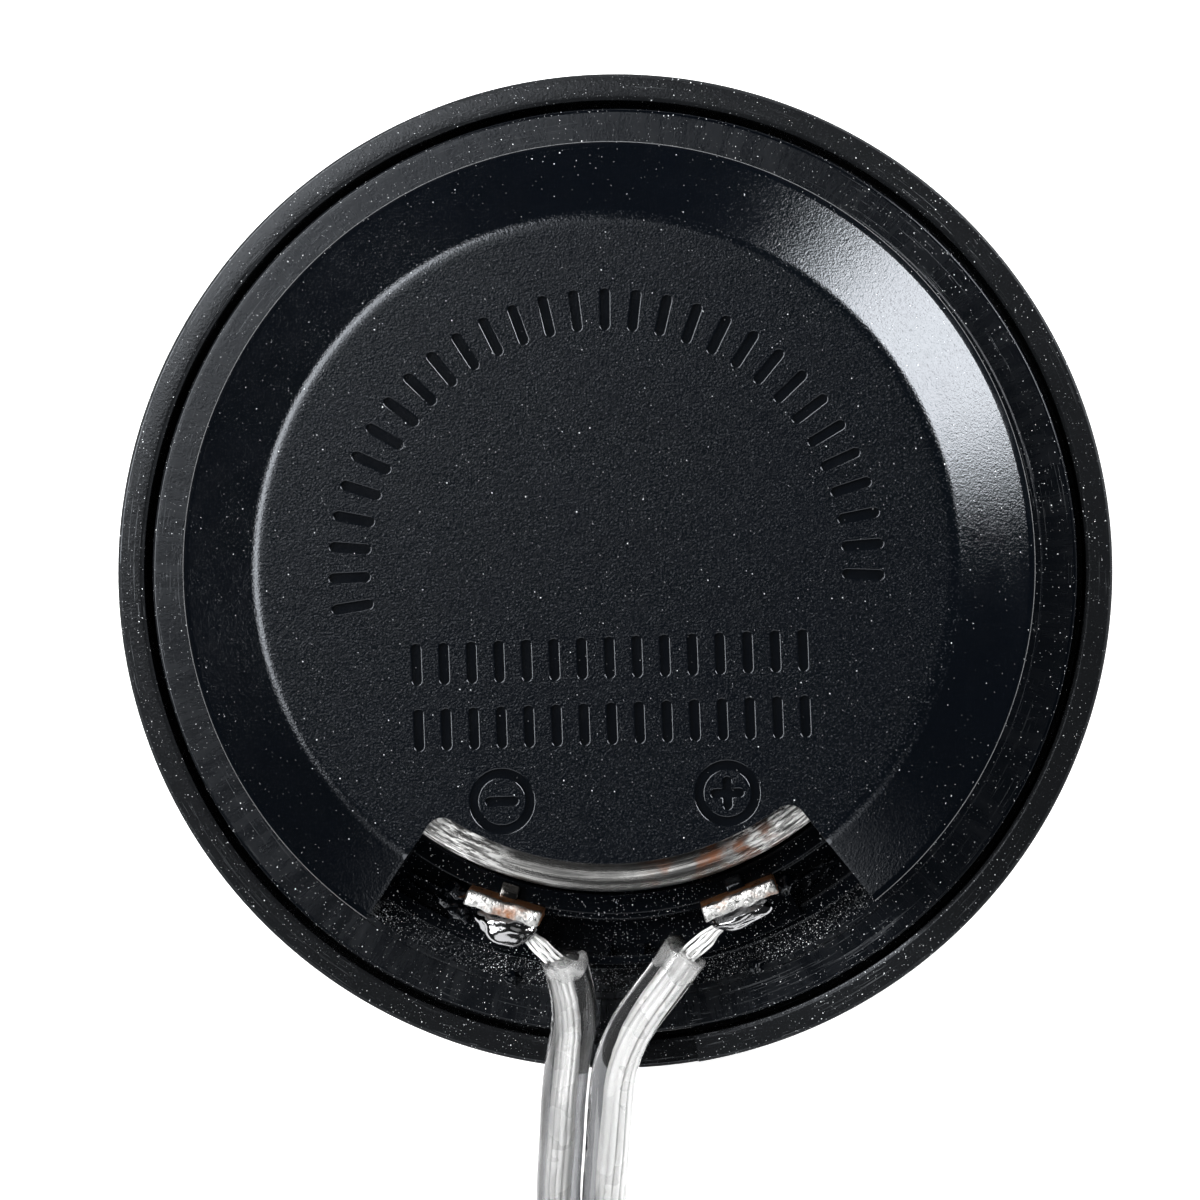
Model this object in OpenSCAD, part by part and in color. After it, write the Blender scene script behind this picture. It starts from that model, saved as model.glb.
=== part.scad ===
// Car dome tweeter, lying face down: +Z points out of its back, the cable notch faces -Y.
// The origin is on the resting plane, under the centre of the trim ring. Millimetres.

/* [Trim ring] */
// Outer diameter of the trim ring
rim_d = 48; // [47.8:0.1:49]
// Height of the trim ring from its front lip to its rear edge
rim_h = 6.2; // [6:0.1:6.4]
// Thickness of the trim ring's outer wall
rim_wall = 1.3; // [1.1:0.1:1.4]
// Width of the cable channel across the trim ring
channel_w = 6.2; // [5:0.1:7]
// Depth of the cable channel
channel_depth = 1.2; // [0.6:0.1:1.6]

/* [Grille] */
// Rise of the domed grille towards the front
grille_rise = 1.4; // [1:0.1:1.5]
// Diameter of one hole in the grille
hole_d = 1.6; // [1.2:0.1:1.8]
// Distance between neighbouring holes
hole_pitch = 2.4; // [2.2:0.1:3]
// Thickness of the grille's sheet
grille_t = 0.5; // [0.4:0.1:0.5]

/* [Back cover] */
// Distance from the front lip to the flat back
depth = 15; // [14.9:0.1:16]
// Diameter of the cover's upright wall
cover_d = 40.4; // [40.2:0.1:40.6]
// Diameter of the flat back
back_d = 33; // [32.6:0.1:34]
// Height of the bevel round the flat back
bevel_h = 2.2; // [1.8:0.1:2.4]
// Thickness of the flat back
back_t = 1.1; // [1:0.1:1.2]
// Half of the angle that the notch opens
notch_angle = 36.6; // [34:0.2:38]
// Distance of the notch's inner edge from the axis
notch_r = 14; // [13.8:0.1:14.2]
// How deep the marks are sunk into the flat back
mark_depth = 0.25; // [0.1:0.05:0.4]

/* [Motor] */
// Diameter of the steel cup
cup_d = 30.7; // [30:0.1:30.7]
// Thickness of the cup's wall
cup_wall = 1.7; // [1.5:0.1:1.8]
// Thickness of the cup's floor
cup_floor = 1.5; // [1.3:0.1:1.6]
// Diameter of the magnet
magnet_d = 23.5; // [22:0.1:23.6]
// Thickness of the pole plate
pole_t = 1.8; // [1.6:0.1:2]
// Height of the wound part of the voice coil
winding_h = 2; // [1.4:0.1:2.2]

/* [Diaphragm] */
// Nominal diameter of the dome and its voice coil
dome_d = 25; // [24.8:0.05:25.1]
// Height of the dome
dome_h = 4; // [3.4:0.1:4.2]
// Thickness of the dome's cloth
dome_t = 0.2; // [0.15:0.01:0.25]

/* [Terminals] */
// Distance of the solder tabs' ends from the axis
tab_r = 16.95; // [16.85:0.05:17]
// Angle of each solder tab from the notch's centre
tab_angle = 19.4; // [18:0.2:21]
// Width of a solder tab
tab_w = 3.6; // [3:0.1:4]
// Thickness of a solder tab with its tinning
tab_t = 0.8; // [0.6:0.1:0.8]
// Height of the tabs' ends above the resting plane
tab_top = 12; // [11.5:0.1:12.4]
// Outward lean of the tabs
tab_lean = 7; // [0:1:8]

/* [Lead] */
// Diameter of one insulated conductor
wire_d = 2.2; // [2:0.1:2.2]
// Diameter of the bare strands where they are twisted together
bare_d = 1.1; // [0.8:0.1:1.2]
// Radius of the coil at the middle of its turns
coil_r = 16; // [15:0.5:16]

/* [Hidden] */
$fn = 96;
SLACK = 0.05; // clearance round a glued or pressed piece
CUT = 1; // how far a cutting solid runs past the face it cuts
rim_r = rim_d / 2;
rim_inner_r = rim_r - rim_wall; // inside of the trim ring's wall
lip_r = 17; // opening of the trim ring
seat_z = 1.9; // plane behind the front lip that the driver stands on
groove_w = 0.4; // shadow groove between trim ring and driver frame
flange_r = rim_inner_r - groove_w;
flange_z = 6.5; // rear face of the driver frame's flange
ledge_z = 6.7; // rough ledge that the back cover is glued to
ledge_r = 20.6;
cover_r = cover_d / 2;
back_r = back_d / 2;
cover_wall = 1;
bevel_z = depth - bevel_h;
cup_r = cup_d / 2;
cup_back_z = depth - back_t;
cup_front_z = 7.4;
cup_corner = 1.5; // outer radius where the cup's wall turns into its floor
magnet_back_z = cup_back_z - cup_floor;
pole_back_z = cup_front_z + pole_t;
dome_z = 6.2; // plane where dome, surround and voice coil meet
DOME_EDGE = 0.25; // how far former and surround lie to each side of the dome's edge
former_r = dome_d / 2 - DOME_EDGE; // inside of the voice coil former
former_t = 0.12;
former_top = 9.4;
pole_gap = 0.3; // air between former and pole plate
winding_t = 0.4;
winding_z = 7.3;
flange_film_t = 0.15; // thickness of the surround's cloth
roll_in = dome_d / 2 + DOME_EDGE; // inner and outer radius of the surround's half roll
roll_out = 15.5;
surround_r = 17.6; // outer edge of the surround's glued flange
web_z = 6.35; // front face of the frame's web, which the surround is glued to
web_back_z = 7.4;
collar_in = 15.5;
collar_out = 16.5;
collar_z = 10;
lip_out = 16.75;
block_out = 18.45;
block_z = 8.6; // rear face of the terminal block
locator_out = 19.15; // low ring inside the back cover's wall
locator_z = 8;
block_angle = 27; // half of the angle that the terminal block spans
pocket_angle = 10.8; // half of the angle that the pocket between the tabs spans
pocket_floor = 7.4;
channel_z = rim_h - channel_depth;
tab_foot_z = 6.65; // front end of the tabs, inside the frame
bead_r = 0.9; // radius of a solder bead, and the place of its middle
bead_pos_r = 17.75;
bead_z = 10.2;
// The sunk polarity marks, and one arc and two rows of sunk blank slots.
polarity_r = 12.1;
polarity_angle = 26;
polarity_ring_r = 1.6;
slot_w = 0.6;
slot_l = 2.1;
arc_slots = 30;
arc_slot_r = 12.1;
arc_from = -4; // angles of the first and last slot of the arc, from +X
arc_to = 187;
row_slots = 15;
row_y = [-4.3, -7.4];
row_pitch = 1.3;
// The lead. Each route is a list of round points: out of the solder, over the rim, down to the
// resting plane and into the coil, where the positive conductor lies on the negative one.
NEGATIVE_ROUTE = [
    [-2.9, -18.5, 9.8], [-2.6, -20.0, 9.2], [-2.6, -21.6, 8.3], [-3.0, -23.4, 7.5],
    [-3.3, -25.2, 6.7], [-3.5, -26.8, 5.6], [-3.7, -28.2, 4.3], [-3.9, -29.7, 3.0],
    [-4.0, -31.3, 1.9], [-4.1, -33.3, 1.3], [-4.3, -35.4, 1.2], [-4.5, -37.6, 1.2],
    [-4.9, -39.8, 1.2], [-5.4, -42.0, 1.3], [-6.1, -44.2, 1.4], [-6.9, -46.5, 1.5]
];
POSITIVE_ROUTE = [
    [2.9, -18.4, 9.8], [2.0, -19.6, 9.4], [0.9, -20.9, 8.8], [-0.1, -22.3, 8.1],
    [-0.8, -24.0, 7.4], [-1.1, -25.8, 6.4], [-1.3, -27.3, 5.2], [-1.5, -28.7, 3.9],
    [-1.7, -30.2, 2.7], [-1.8, -32.0, 1.7], [-1.9, -34.0, 1.3], [-2.1, -36.2, 1.5],
    [-2.4, -38.3, 2.0], [-3.2, -40.4, 2.8], [-4.6, -42.7, 3.5], [-6.3, -45.2, 3.7]
];
coil_pos = [10.9, -54.5];
coil_lift = 0.4; // thickness of the tie that passes under the coil
coil_w = 4 * wire_d; // four turns side by side
coil_h = 6 * wire_d; // three layers of a pair each
tie_angle = -35; // where the tie grips the coil, from +X
tie_span = 10; // angle that the tie's band covers
tube_sides = 8;

// A ring of rectangular section.
module ring(r_in, r_out, z_low, z_high) {
    rotate_extrude()
        translate([r_in, z_low])
            square([r_out - r_in, z_high - z_low]);
}

// The same ring, kept only within half_angle of the middle angle.
module ring_sector(r_in, r_out, z_low, z_high, half_angle, middle = -90) {
    rotate([0, 0, middle - half_angle])
        rotate_extrude(angle = 2 * half_angle)
            translate([r_in, z_low])
                square([r_out - r_in, z_high - z_low]);
}

// Puts its children at a radius and an angle from the notch's centre, local +Y pointing inwards.
module at_notch(angle, r) {
    rotate([0, 0, angle])
        translate([0, -r, 0])
            children();
}

// A straight round rod between two points.
module rod(from, to, r) {
    run = to - from;
    length = norm(run);
    translate(from)
        rotate([0, acos(run.z / length), atan2(run.y, run.x)])
            cylinder(r = r, h = length, $fn = 48);
}

// A closed tube swept along a list of points, one ring of sides at each point.
function along(p, i) = let (d = p[min(i + 1, len(p) - 1)] - p[max(i - 1, 0)]) d / norm(d);
function across(t) = let (s = cross([0, 0, 1], t)) s / norm(s);
function tube_ring(p, i, r, sides) = let (t = along(p, i), u = across(t), v = cross(t, u))
    [for (k = [0 : sides - 1]) p[i] + r * (cos(360 * k / sides) * u + sin(360 * k / sides) * v)];
module tube(p, r, sides) {
    n = len(p);
    points = [for (i = [0 : n - 1]) each tube_ring(p, i, r, sides)];
    walls = [for (i = [0 : n - 2]) for (k = [0 : sides - 1])
        [i * sides + k, i * sides + (k + 1) % sides,
        (i + 1) * sides + (k + 1) % sides, (i + 1) * sides + k]];
    first = [for (k = [0 : sides - 1]) sides - 1 - k];
    last = [for (k = [0 : sides - 1]) (n - 1) * sides + k];
    polyhedron(points, concat([first], walls, [last]));
}

// The trim ring: the black ring that shows from the front and holds everything.
module trim_ring() {
    lip_flat_r = 19.5;
    front_corner = 1.5;
    rear_corner = 0.5;
    lip_edge_z = 1.2;
    color([0.035, 0.036, 0.04])
        difference() {
            rotate_extrude() {
                polygon([
                    [lip_r, lip_edge_z], [lip_flat_r, 0], [rim_r - front_corner, 0],
                    [rim_r - front_corner, front_corner], [rim_r, front_corner],
                    [rim_r, rim_h - rear_corner], [rim_r - rear_corner, rim_h - rear_corner],
                    [rim_r - rear_corner, rim_h], [rim_inner_r, rim_h],
                    [rim_inner_r, seat_z], [lip_r, seat_z]
                ]);
                translate([rim_r - front_corner, front_corner])
                    intersection() {
                        circle(front_corner);
                        translate([0, -front_corner])
                            square(front_corner);
                    }
                translate([rim_r - rear_corner, rim_h - rear_corner])
                    circle(rear_corner);
            }
            translate([-channel_w / 2, -rim_r - CUT, channel_z])
                cube([channel_w, rim_wall + 2 * CUT, channel_depth + CUT]);
        }
}

// The grille: a domed steel sheet with round holes in a triangular pattern.
module grille() {
    dome_edge_r = 16.2;
    flange_out = 18.6;
    holes_r = 15.2;
    outer_ball = (dome_edge_r * dome_edge_r + grille_rise * grille_rise) / (2 * grille_rise);
    row_step = hole_pitch * sqrt(3) / 2;
    rows = ceil(holes_r / row_step);
    columns = ceil(holes_r / hole_pitch) + 1;
    color([0.05, 0.05, 0.055])
        difference() {
            rotate_extrude() {
                intersection() {
                    difference() {
                        translate([0, outer_ball + seat_z - grille_rise])
                            circle(outer_ball);
                        translate([0, outer_ball + seat_z - grille_rise])
                            circle(outer_ball - grille_t);
                    }
                    square([dome_edge_r, seat_z + grille_t]);
                }
                translate([dome_edge_r - grille_t / 2, seat_z])
                    square([flange_out - dome_edge_r + grille_t / 2, grille_t]);
            }
            for (row = [-rows : rows])
                for (column = [-columns : columns]) {
                    x = (column + (row % 2 == 0 ? 0 : 0.5)) * hole_pitch;
                    y = row * row_step;
                    if (norm([x, y]) < holes_r)
                        translate([x, y, -CUT])
                            cylinder(d = hole_d, h = seat_z + grille_t + 2 * CUT, $fn = 32);
                }
        }
}

// The ring between grille and frame that clamps the surround and opens towards the front.
module clamp_ring() {
    mouth_r = 17;
    throat_r = 15.8;
    outer_r = 18.8;
    color([0.05, 0.05, 0.055])
        rotate_extrude()
            polygon([
                [mouth_r, seat_z + grille_t], [outer_r, seat_z + grille_t],
                [outer_r, dome_z], [throat_r, dome_z]
            ]);
}

// The blade of a solder tab, grown by extra all round.
module tab_blade(extra = 0) {
    blade_h = (tab_top - tab_foot_z) / cos(tab_lean);
    translate([0, blade_h * sin(tab_lean), tab_foot_z])
        rotate([tab_lean, 0, 0])
            translate([-tab_w / 2 - extra, -tab_t / 2 - extra, -extra])
                cube([tab_w + 2 * extra, tab_t + 2 * extra, blade_h + 2 * extra]);
}

// The driver frame: flange, cup collar, terminal block with its pocket, and the cover's ledge.
module driver_frame() {
    skirt_in = 21.3;
    shelf_r = 14.2;
    shelf_z = 6.9;
    web_out = 18.9;
    flange_under_z = 5.3;
    grip_z = 8.2;
    wire_slot_w = 1;
    wire_slot_h = 0.5;
    wire_slot_from = 15.3;
    throat_r = 15.6;
    tab_wall_drop = 0.3; // how far the wall behind the tabs ends below the collar
    rib_angle = 2.6;
    rib = [0.3, 0.45, 1];
    color([0.04, 0.041, 0.046]) {
        difference() {
            union() {
                rotate_extrude()
                    polygon([
                        [shelf_r, shelf_z], [throat_r, shelf_z], [throat_r, web_z], [web_out, web_z],
                        [web_out, flange_under_z], [skirt_in, flange_under_z],
                        [skirt_in, seat_z], [flange_r, seat_z], [flange_r, flange_z],
                        [ledge_r, flange_z], [ledge_r, ledge_z], [locator_out, ledge_z],
                        [locator_out, locator_z], [block_out, locator_z],
                        [block_out, web_back_z], [collar_out, web_back_z],
                        [collar_out, collar_z], [collar_in, collar_z], [collar_in, grip_z],
                        [cup_r + SLACK, grip_z], [cup_r + SLACK, cup_front_z],
                        [shelf_r, cup_front_z]
                    ]);
                ring_sector(collar_out - CUT / 2, block_out + CUT / 2, web_z, block_z,
                    block_angle);
                ring_sector(collar_out - CUT / 2, lip_out, web_z, collar_z - tab_wall_drop,
                    tab_angle);
            }
            // The pocket between the tabs, with round ends.
            pocket_mid = (lip_out + block_out) / 2;
            pocket_r = (block_out - lip_out) / 2 - SLACK;
            ring_sector(lip_out, block_out, pocket_floor, block_z + CUT, pocket_angle);
            for (side = [-1, 1])
                at_notch(side * pocket_angle, pocket_mid)
                    translate([0, 0, pocket_floor])
                        cylinder(r = pocket_r, h = block_z - pocket_floor + CUT);
            for (side = [-1, 1])
                at_notch(side * tab_angle, tab_r) {
                    tab_blade(SLACK);
                    // Slot that brings the voice coil's wire to the foot of the tab.
                    translate([-wire_slot_w / 2, 0, web_z - CUT])
                        cube([wire_slot_w, tab_r - wire_slot_from, CUT + wire_slot_h]);
                }
        }
        // Two small ribs on the pocket's outer wall.
        for (side = [-1, 1])
            at_notch(side * rib_angle, block_out)
                translate([-rib.x / 2, -SLACK, pocket_floor - SLACK])
                    cube(rib);
    }
}

// The surround: a half roll of cloth round the dome, and its flat glued flange.
module surround() {
    roll_r = (roll_out - roll_in) / 2;
    roll_mid = (roll_out + roll_in) / 2;
    squash_z = 0.3; // the roll's centre lies this far behind its edges
    color([0.03, 0.03, 0.032])
        rotate_extrude() {
            intersection() {
                difference() {
                    translate([roll_mid, dome_z + squash_z])
                        circle(roll_r);
                    translate([roll_mid, dome_z + squash_z])
                        circle(roll_r - flange_film_t);
                }
                translate([roll_in, dome_z - roll_r])
                    square([roll_out - roll_in, roll_r + flange_film_t]);
            }
            translate([roll_out - flange_film_t, dome_z])
                square([surround_r - roll_out + flange_film_t, flange_film_t]);
        }
}

// The dome: a shallow cap of stiffened cloth with a cuff round the voice coil former.
module dome() {
    edge_r = former_r + former_t;
    ball = (edge_r * edge_r + dome_h * dome_h) / (2 * dome_h);
    cuff_h = 0.5;
    cuff_t = 0.15;
    color([0.03, 0.03, 0.032])
        rotate_extrude() {
            intersection() {
                difference() {
                    translate([0, dome_z - dome_h + ball])
                        circle(ball);
                    translate([0, dome_z - dome_h + ball])
                        circle(ball - dome_t);
                }
                translate([0, dome_z - dome_h])
                    square([edge_r + dome_t, dome_h]);
            }
            translate([edge_r - dome_t, dome_z - dome_t])
                square([dome_t + cuff_t, dome_t]);
            translate([edge_r, dome_z - dome_t])
                square([cuff_t, cuff_h + dome_t]);
        }
}

// The voice coil's former, a thin tube.
module voice_coil_former() {
    color([0.75, 0.76, 0.78])
        ring(former_r, former_r + former_t, dome_z, former_top);
}

// The voice coil's winding, on the rear end of the former.
module voice_coil_winding() {
    color([0.72, 0.34, 0.16])
        ring(former_r + former_t, former_r + former_t + winding_t, winding_z,
            winding_z + winding_h);
}

// The felt on the pole plate, under the dome.
module damping_felt() {
    felt_r = 9;
    felt_t = 0.8;
    color([0.2, 0.2, 0.21])
        translate([0, 0, cup_front_z - felt_t])
            cylinder(r = felt_r, h = felt_t);
}

// The pole plate, which the voice coil surrounds.
module pole_plate() {
    color([0.6, 0.6, 0.62])
        translate([0, 0, cup_front_z])
            cylinder(r = former_r - pole_gap, h = pole_t);
}

// The disc magnet between pole plate and cup.
module magnet() {
    color([0.7, 0.7, 0.72])
        translate([0, 0, pole_back_z])
            cylinder(d = magnet_d, h = magnet_back_z - pole_back_z);
}

// The pressed steel cup, whose rounded edge shows in the notch.
module magnet_cup() {
    color([0.62, 0.6, 0.57])
        difference() {
            rotate_extrude() {
                translate([0, cup_front_z])
                    square([cup_r, cup_back_z - cup_corner - cup_front_z]);
                translate([0, cup_front_z])
                    square([cup_r - cup_corner, cup_back_z - cup_front_z]);
                translate([cup_r - cup_corner, cup_back_z - cup_corner])
                    circle(cup_corner);
            }
            translate([0, 0, cup_front_z - CUT])
                cylinder(r = cup_r - cup_wall, h = magnet_back_z - cup_front_z + CUT);
        }
}

// The notch's outline, with rounded inner corners.
module notch_outline() {
    corner = 0.8;
    far_r = cover_r + CUT;
    inset = asin(corner / (notch_r + corner));
    module sector(r_in, half_angle) {
        difference() {
            intersection() {
                circle(far_r);
                polygon([
                    [0, 0],
                    2 * far_r * [-sin(half_angle), -cos(half_angle)],
                    2 * far_r * [sin(half_angle), -cos(half_angle)]
                ]);
            }
            circle(r_in);
        }
    }
    sector(notch_r + corner, notch_angle);
    sector(notch_r, notch_angle - inset);
    for (side = [-1, 1])
        rotate(side * (notch_angle - inset))
            translate([0, -notch_r - corner])
                circle(corner);
}

// A flat slot with round ends, along Y.
module slot_outline(w, l) {
    square([w, l - w], center = true);
    for (end = [-1, 1])
        translate([0, end * (l - w) / 2])
            circle(d = w, $fn = 32);
}

// A polarity mark: a ring round a minus sign, or a plus sign.
module polarity_outline(plus) {
    line_w = 0.55;
    sign_l = 1.7;
    difference() {
        circle(polarity_ring_r, $fn = 64);
        circle(polarity_ring_r - line_w, $fn = 64);
    }
    rotate(90)
        slot_outline(line_w, sign_l);
    if (plus)
        slot_outline(line_w, sign_l);
}

// The outlines of everything that is sunk into the flat back.
module mark_outlines() {
    for (side = [-1, 1])
        at_notch(side * polarity_angle, polarity_r)
            rotate(-side * polarity_angle)
                polarity_outline(side > 0);
    for (i = [0 : arc_slots - 1])
        rotate(arc_from + (arc_to - arc_from) * i / (arc_slots - 1))
            translate([arc_slot_r, 0])
                rotate(90)
                    slot_outline(slot_w, slot_l);
    for (y = row_y)
        for (i = [0 : row_slots - 1])
            translate([(i - (row_slots - 1) / 2) * row_pitch, y])
                slot_outline(slot_w, slot_l);
}

// The back cover, with its notch and its sunk marks.
module back_cover() {
    inner_inset = 0.4; // the inner flat is this much narrower than the outer one
    inner_flat_r = back_r - inner_inset;
    color([0.035, 0.037, 0.042])
        difference() {
            rotate_extrude()
                polygon([
                    [0, depth], [back_r, depth], [cover_r, bevel_z], [cover_r, ledge_z],
                    [cover_r - cover_wall, ledge_z],
                    [cover_r - cover_wall, bevel_z - cover_wall / 2],
                    [inner_flat_r, cup_back_z], [0, cup_back_z]
                ]);
            translate([0, 0, ledge_z - CUT])
                linear_extrude(depth + 2 * CUT - ledge_z)
                    notch_outline();
            translate([0, 0, depth - mark_depth])
                linear_extrude(mark_depth + CUT)
                    mark_outlines();
        }
}

// A solder tab: the upright blade and the foot that bends inwards over the collar.
module solder_tab(side) {
    foot = [1.2, 1.2, 0.5];
    foot_from = 16.8;
    color([0.78, 0.6, 0.42])
        at_notch(side * tab_angle, tab_r) {
            tab_blade();
            translate([-foot.x / 2, tab_r - foot_from, collar_z])
                cube(foot);
        }
}
module negative_tab() {
    solder_tab(-1);
}
module positive_tab() {
    solder_tab(1);
}

// The bead of solder on a tab's outer face.
module solder_bead(side) {
    bead_l = 1.4;
    color([0.75, 0.75, 0.76])
        at_notch(side * tab_angle, bead_pos_r)
            translate([0, 0, bead_z])
                rotate([0, 90, 0]) {
                    cylinder(r = bead_r, h = bead_l, center = true, $fn = 48);
                    for (end = [-1, 1])
                        translate([0, 0, end * bead_l / 2])
                            sphere(bead_r, $fn = 48);
                }
}
module negative_solder() {
    solder_bead(-1);
}
module positive_solder() {
    solder_bead(1);
}

// The voice coil's end wire, from the winding to the foot of its tab.
module lead_out(side) {
    wire_r = 0.1;
    inner_end = [0, -12.65, 6.55];
    outer_end = [0, -16.1, 6.75];
    color([0.72, 0.34, 0.16])
        rotate([0, 0, side * tab_angle])
            rod(inner_end, outer_end, wire_r);
}
module negative_lead_out() {
    lead_out(-1);
}
module positive_lead_out() {
    lead_out(1);
}

// The bare strands between a solder bead and the end of the insulation.
function strand_start(side) = [side * 4.6, -17.2, 10];
module negative_strands() {
    color([0.8, 0.8, 0.78])
        rod(strand_start(-1), NEGATIVE_ROUTE[0], bare_d / 2);
}
module positive_strands() {
    color([0.8, 0.8, 0.78])
        rod(strand_start(1), POSITIVE_ROUTE[0], bare_d / 2);
}

// The two insulated conductors, from the strands to the coil.
module negative_lead() {
    color([0.85, 0.86, 0.86, 0.5])
        tube(NEGATIVE_ROUTE, wire_d / 2, tube_sides);
}
module positive_lead() {
    color([0.85, 0.86, 0.86, 0.5])
        tube(POSITIVE_ROUTE, wire_d / 2, tube_sides);
}

// The rest of the lead, wound into a coil.
module lead_coil() {
    color([0.85, 0.86, 0.86, 0.5])
        translate(coil_pos)
            ring(coil_r - coil_w / 2, coil_r + coil_w / 2, coil_lift, coil_lift + coil_h);
}

// The band that ties the coil.
module coil_tie() {
    color([0.05, 0.05, 0.05])
        translate(coil_pos)
            rotate([0, 0, tie_angle - tie_span / 2])
                rotate_extrude(angle = tie_span)
                    translate([coil_r - coil_w / 2, coil_lift])
                        difference() {
                            translate([-coil_lift, -coil_lift])
                                square([coil_w + 2 * coil_lift, coil_h + 2 * coil_lift]);
                            square([coil_w, coil_h]);
                        }
}

trim_ring();
grille();
clamp_ring();
driver_frame();
surround();
dome();
voice_coil_former();
voice_coil_winding();
damping_felt();
pole_plate();
magnet();
magnet_cup();
back_cover();
negative_tab();
positive_tab();
negative_solder();
positive_solder();
negative_lead_out();
positive_lead_out();
negative_strands();
positive_strands();
negative_lead();
positive_lead();
lead_coil();
coil_tie();
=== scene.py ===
"""Car dome tweeter, lying face down on a pale table. Metres, in the frame of the CAD model."""

import math
import random

import bmesh
import bpy
from mathutils import Matrix, Vector, noise


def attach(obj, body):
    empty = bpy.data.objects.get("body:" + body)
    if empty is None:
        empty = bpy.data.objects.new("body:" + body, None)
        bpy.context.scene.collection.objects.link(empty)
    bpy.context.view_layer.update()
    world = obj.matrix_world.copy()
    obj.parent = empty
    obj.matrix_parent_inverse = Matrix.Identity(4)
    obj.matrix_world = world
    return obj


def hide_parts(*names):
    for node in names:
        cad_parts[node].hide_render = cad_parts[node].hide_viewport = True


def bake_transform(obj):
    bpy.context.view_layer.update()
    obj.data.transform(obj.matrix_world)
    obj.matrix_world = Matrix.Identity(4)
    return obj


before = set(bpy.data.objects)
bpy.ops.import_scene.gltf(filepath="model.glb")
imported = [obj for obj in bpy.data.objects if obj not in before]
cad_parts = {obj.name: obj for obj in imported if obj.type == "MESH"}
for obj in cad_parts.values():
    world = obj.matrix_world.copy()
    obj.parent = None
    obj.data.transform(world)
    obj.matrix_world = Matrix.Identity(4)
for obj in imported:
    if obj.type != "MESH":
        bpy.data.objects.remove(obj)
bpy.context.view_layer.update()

MM = 0.001
RNG = random.Random(7)

# ---------------------------------------------------------------- camera

CAMERA_AT = Vector((0.0145697, -0.0095316, 0.3662))
LOOK_AT = Vector((-0.000714, -0.0013868, 0.0062))
IMAGE_UP = Vector((0.0366, 0.9993, 0.0))
FOCAL_LENGTH, SENSOR = 224.34, 36


def make_camera():
    data = bpy.data.cameras.new("camera")
    data.lens = FOCAL_LENGTH
    data.sensor_width = SENSOR
    data.clip_start = 0.01
    data.dof.use_dof = False
    cam = bpy.data.objects.new("camera", data)
    bpy.context.scene.collection.objects.link(cam)
    back = (CAMERA_AT - LOOK_AT).normalized()
    right = IMAGE_UP.cross(back).normalized()
    axes = Matrix((right, back.cross(right), back)).transposed()
    cam.matrix_world = Matrix.Translation(CAMERA_AT) @ axes.to_4x4()
    bpy.context.scene.camera = cam


make_camera()

# ---------------------------------------------------------------- mesh helpers (sizes in mm)


def add_mesh(name, points, faces, uvs=None, smooth_angle=32.0):
    """An object from points in mm. uvs holds one (u, v) in mm for each corner of each face."""
    mesh = bpy.data.meshes.new(name)
    mesh.from_pydata([(x * MM, y * MM, z * MM) for x, y, z in points], [], faces)
    if uvs is not None:
        layer = mesh.uv_layers.new(name="UVMap")
        layer.data.foreach_set("uv", [c for face in uvs for uv in face for c in uv])
    bm = bmesh.new()
    bm.from_mesh(mesh)
    bmesh.ops.recalc_face_normals(bm, faces=bm.faces)
    bm.to_mesh(mesh)
    bm.free()
    for p in mesh.polygons:
        p.use_smooth = True
    mesh.set_sharp_from_angle(angle=math.radians(smooth_angle))
    obj = bpy.data.objects.new(name, mesh)
    bpy.context.scene.collection.objects.link(obj)
    return obj


def finish_piece(obj, material, slot, *replaced):
    """Gives a piece of the chassis its finish, attaches it to the chassis and hides the CAD nodes it stands
    for.
    """
    obj.data.materials.clear()
    obj.data.materials.append(MAT[material])
    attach(obj, "chassis")
    if replaced:
        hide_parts(*replaced)
    return obj


def bend_piece(obj, material, node):
    """Gives a piece between the diaphragm, at inner, and the chassis, at outer, its finish, hides its CAD
    node and bakes its transform.
    """
    obj.data.materials.append(MAT[material])
    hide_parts(node)
    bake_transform(obj)


def paint_faces(obj, materials, choose):
    """Adds materials, and gives each face the slot that choose(centre in mm, radius, normal) says."""
    for material in materials:
        obj.data.materials.append(MAT[material])
    for p in obj.data.polygons:
        c = p.center / MM
        p.material_index = choose(c, math.hypot(c.x, c.y), p.normal)


def polar(r, a):
    return r * math.cos(a), r * math.sin(a)


def grid(rows, columns, closed=False, wrap=True, base=0):
    """Quads between points stored row by row. closed joins the last row to the first, wrap the columns."""
    faces = []
    for i in range(rows if closed else rows - 1):
        a, b = base + i * columns, base + (i + 1) % rows * columns
        for k in range(columns if wrap else columns - 1):
            q = (k + 1) % columns
            faces.append((a + k, a + q, b + q, b + k))
    return faces


def grid_uvs(u, v):
    """One (u, v) for each corner of the quads of a grid whose rows are at u and columns at v."""
    return [((a, c), (a, d), (b, d), (b, c)) for a, b in zip(u, u[1:]) for c, d in zip(v, v[1:])]


def end_faces(rows, columns, base=0):
    """The two faces that close a grid whose rows are rings."""
    last = base + (rows - 1) * columns
    return [list(range(base, base + columns))[::-1], list(range(last, last + columns))]


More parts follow.
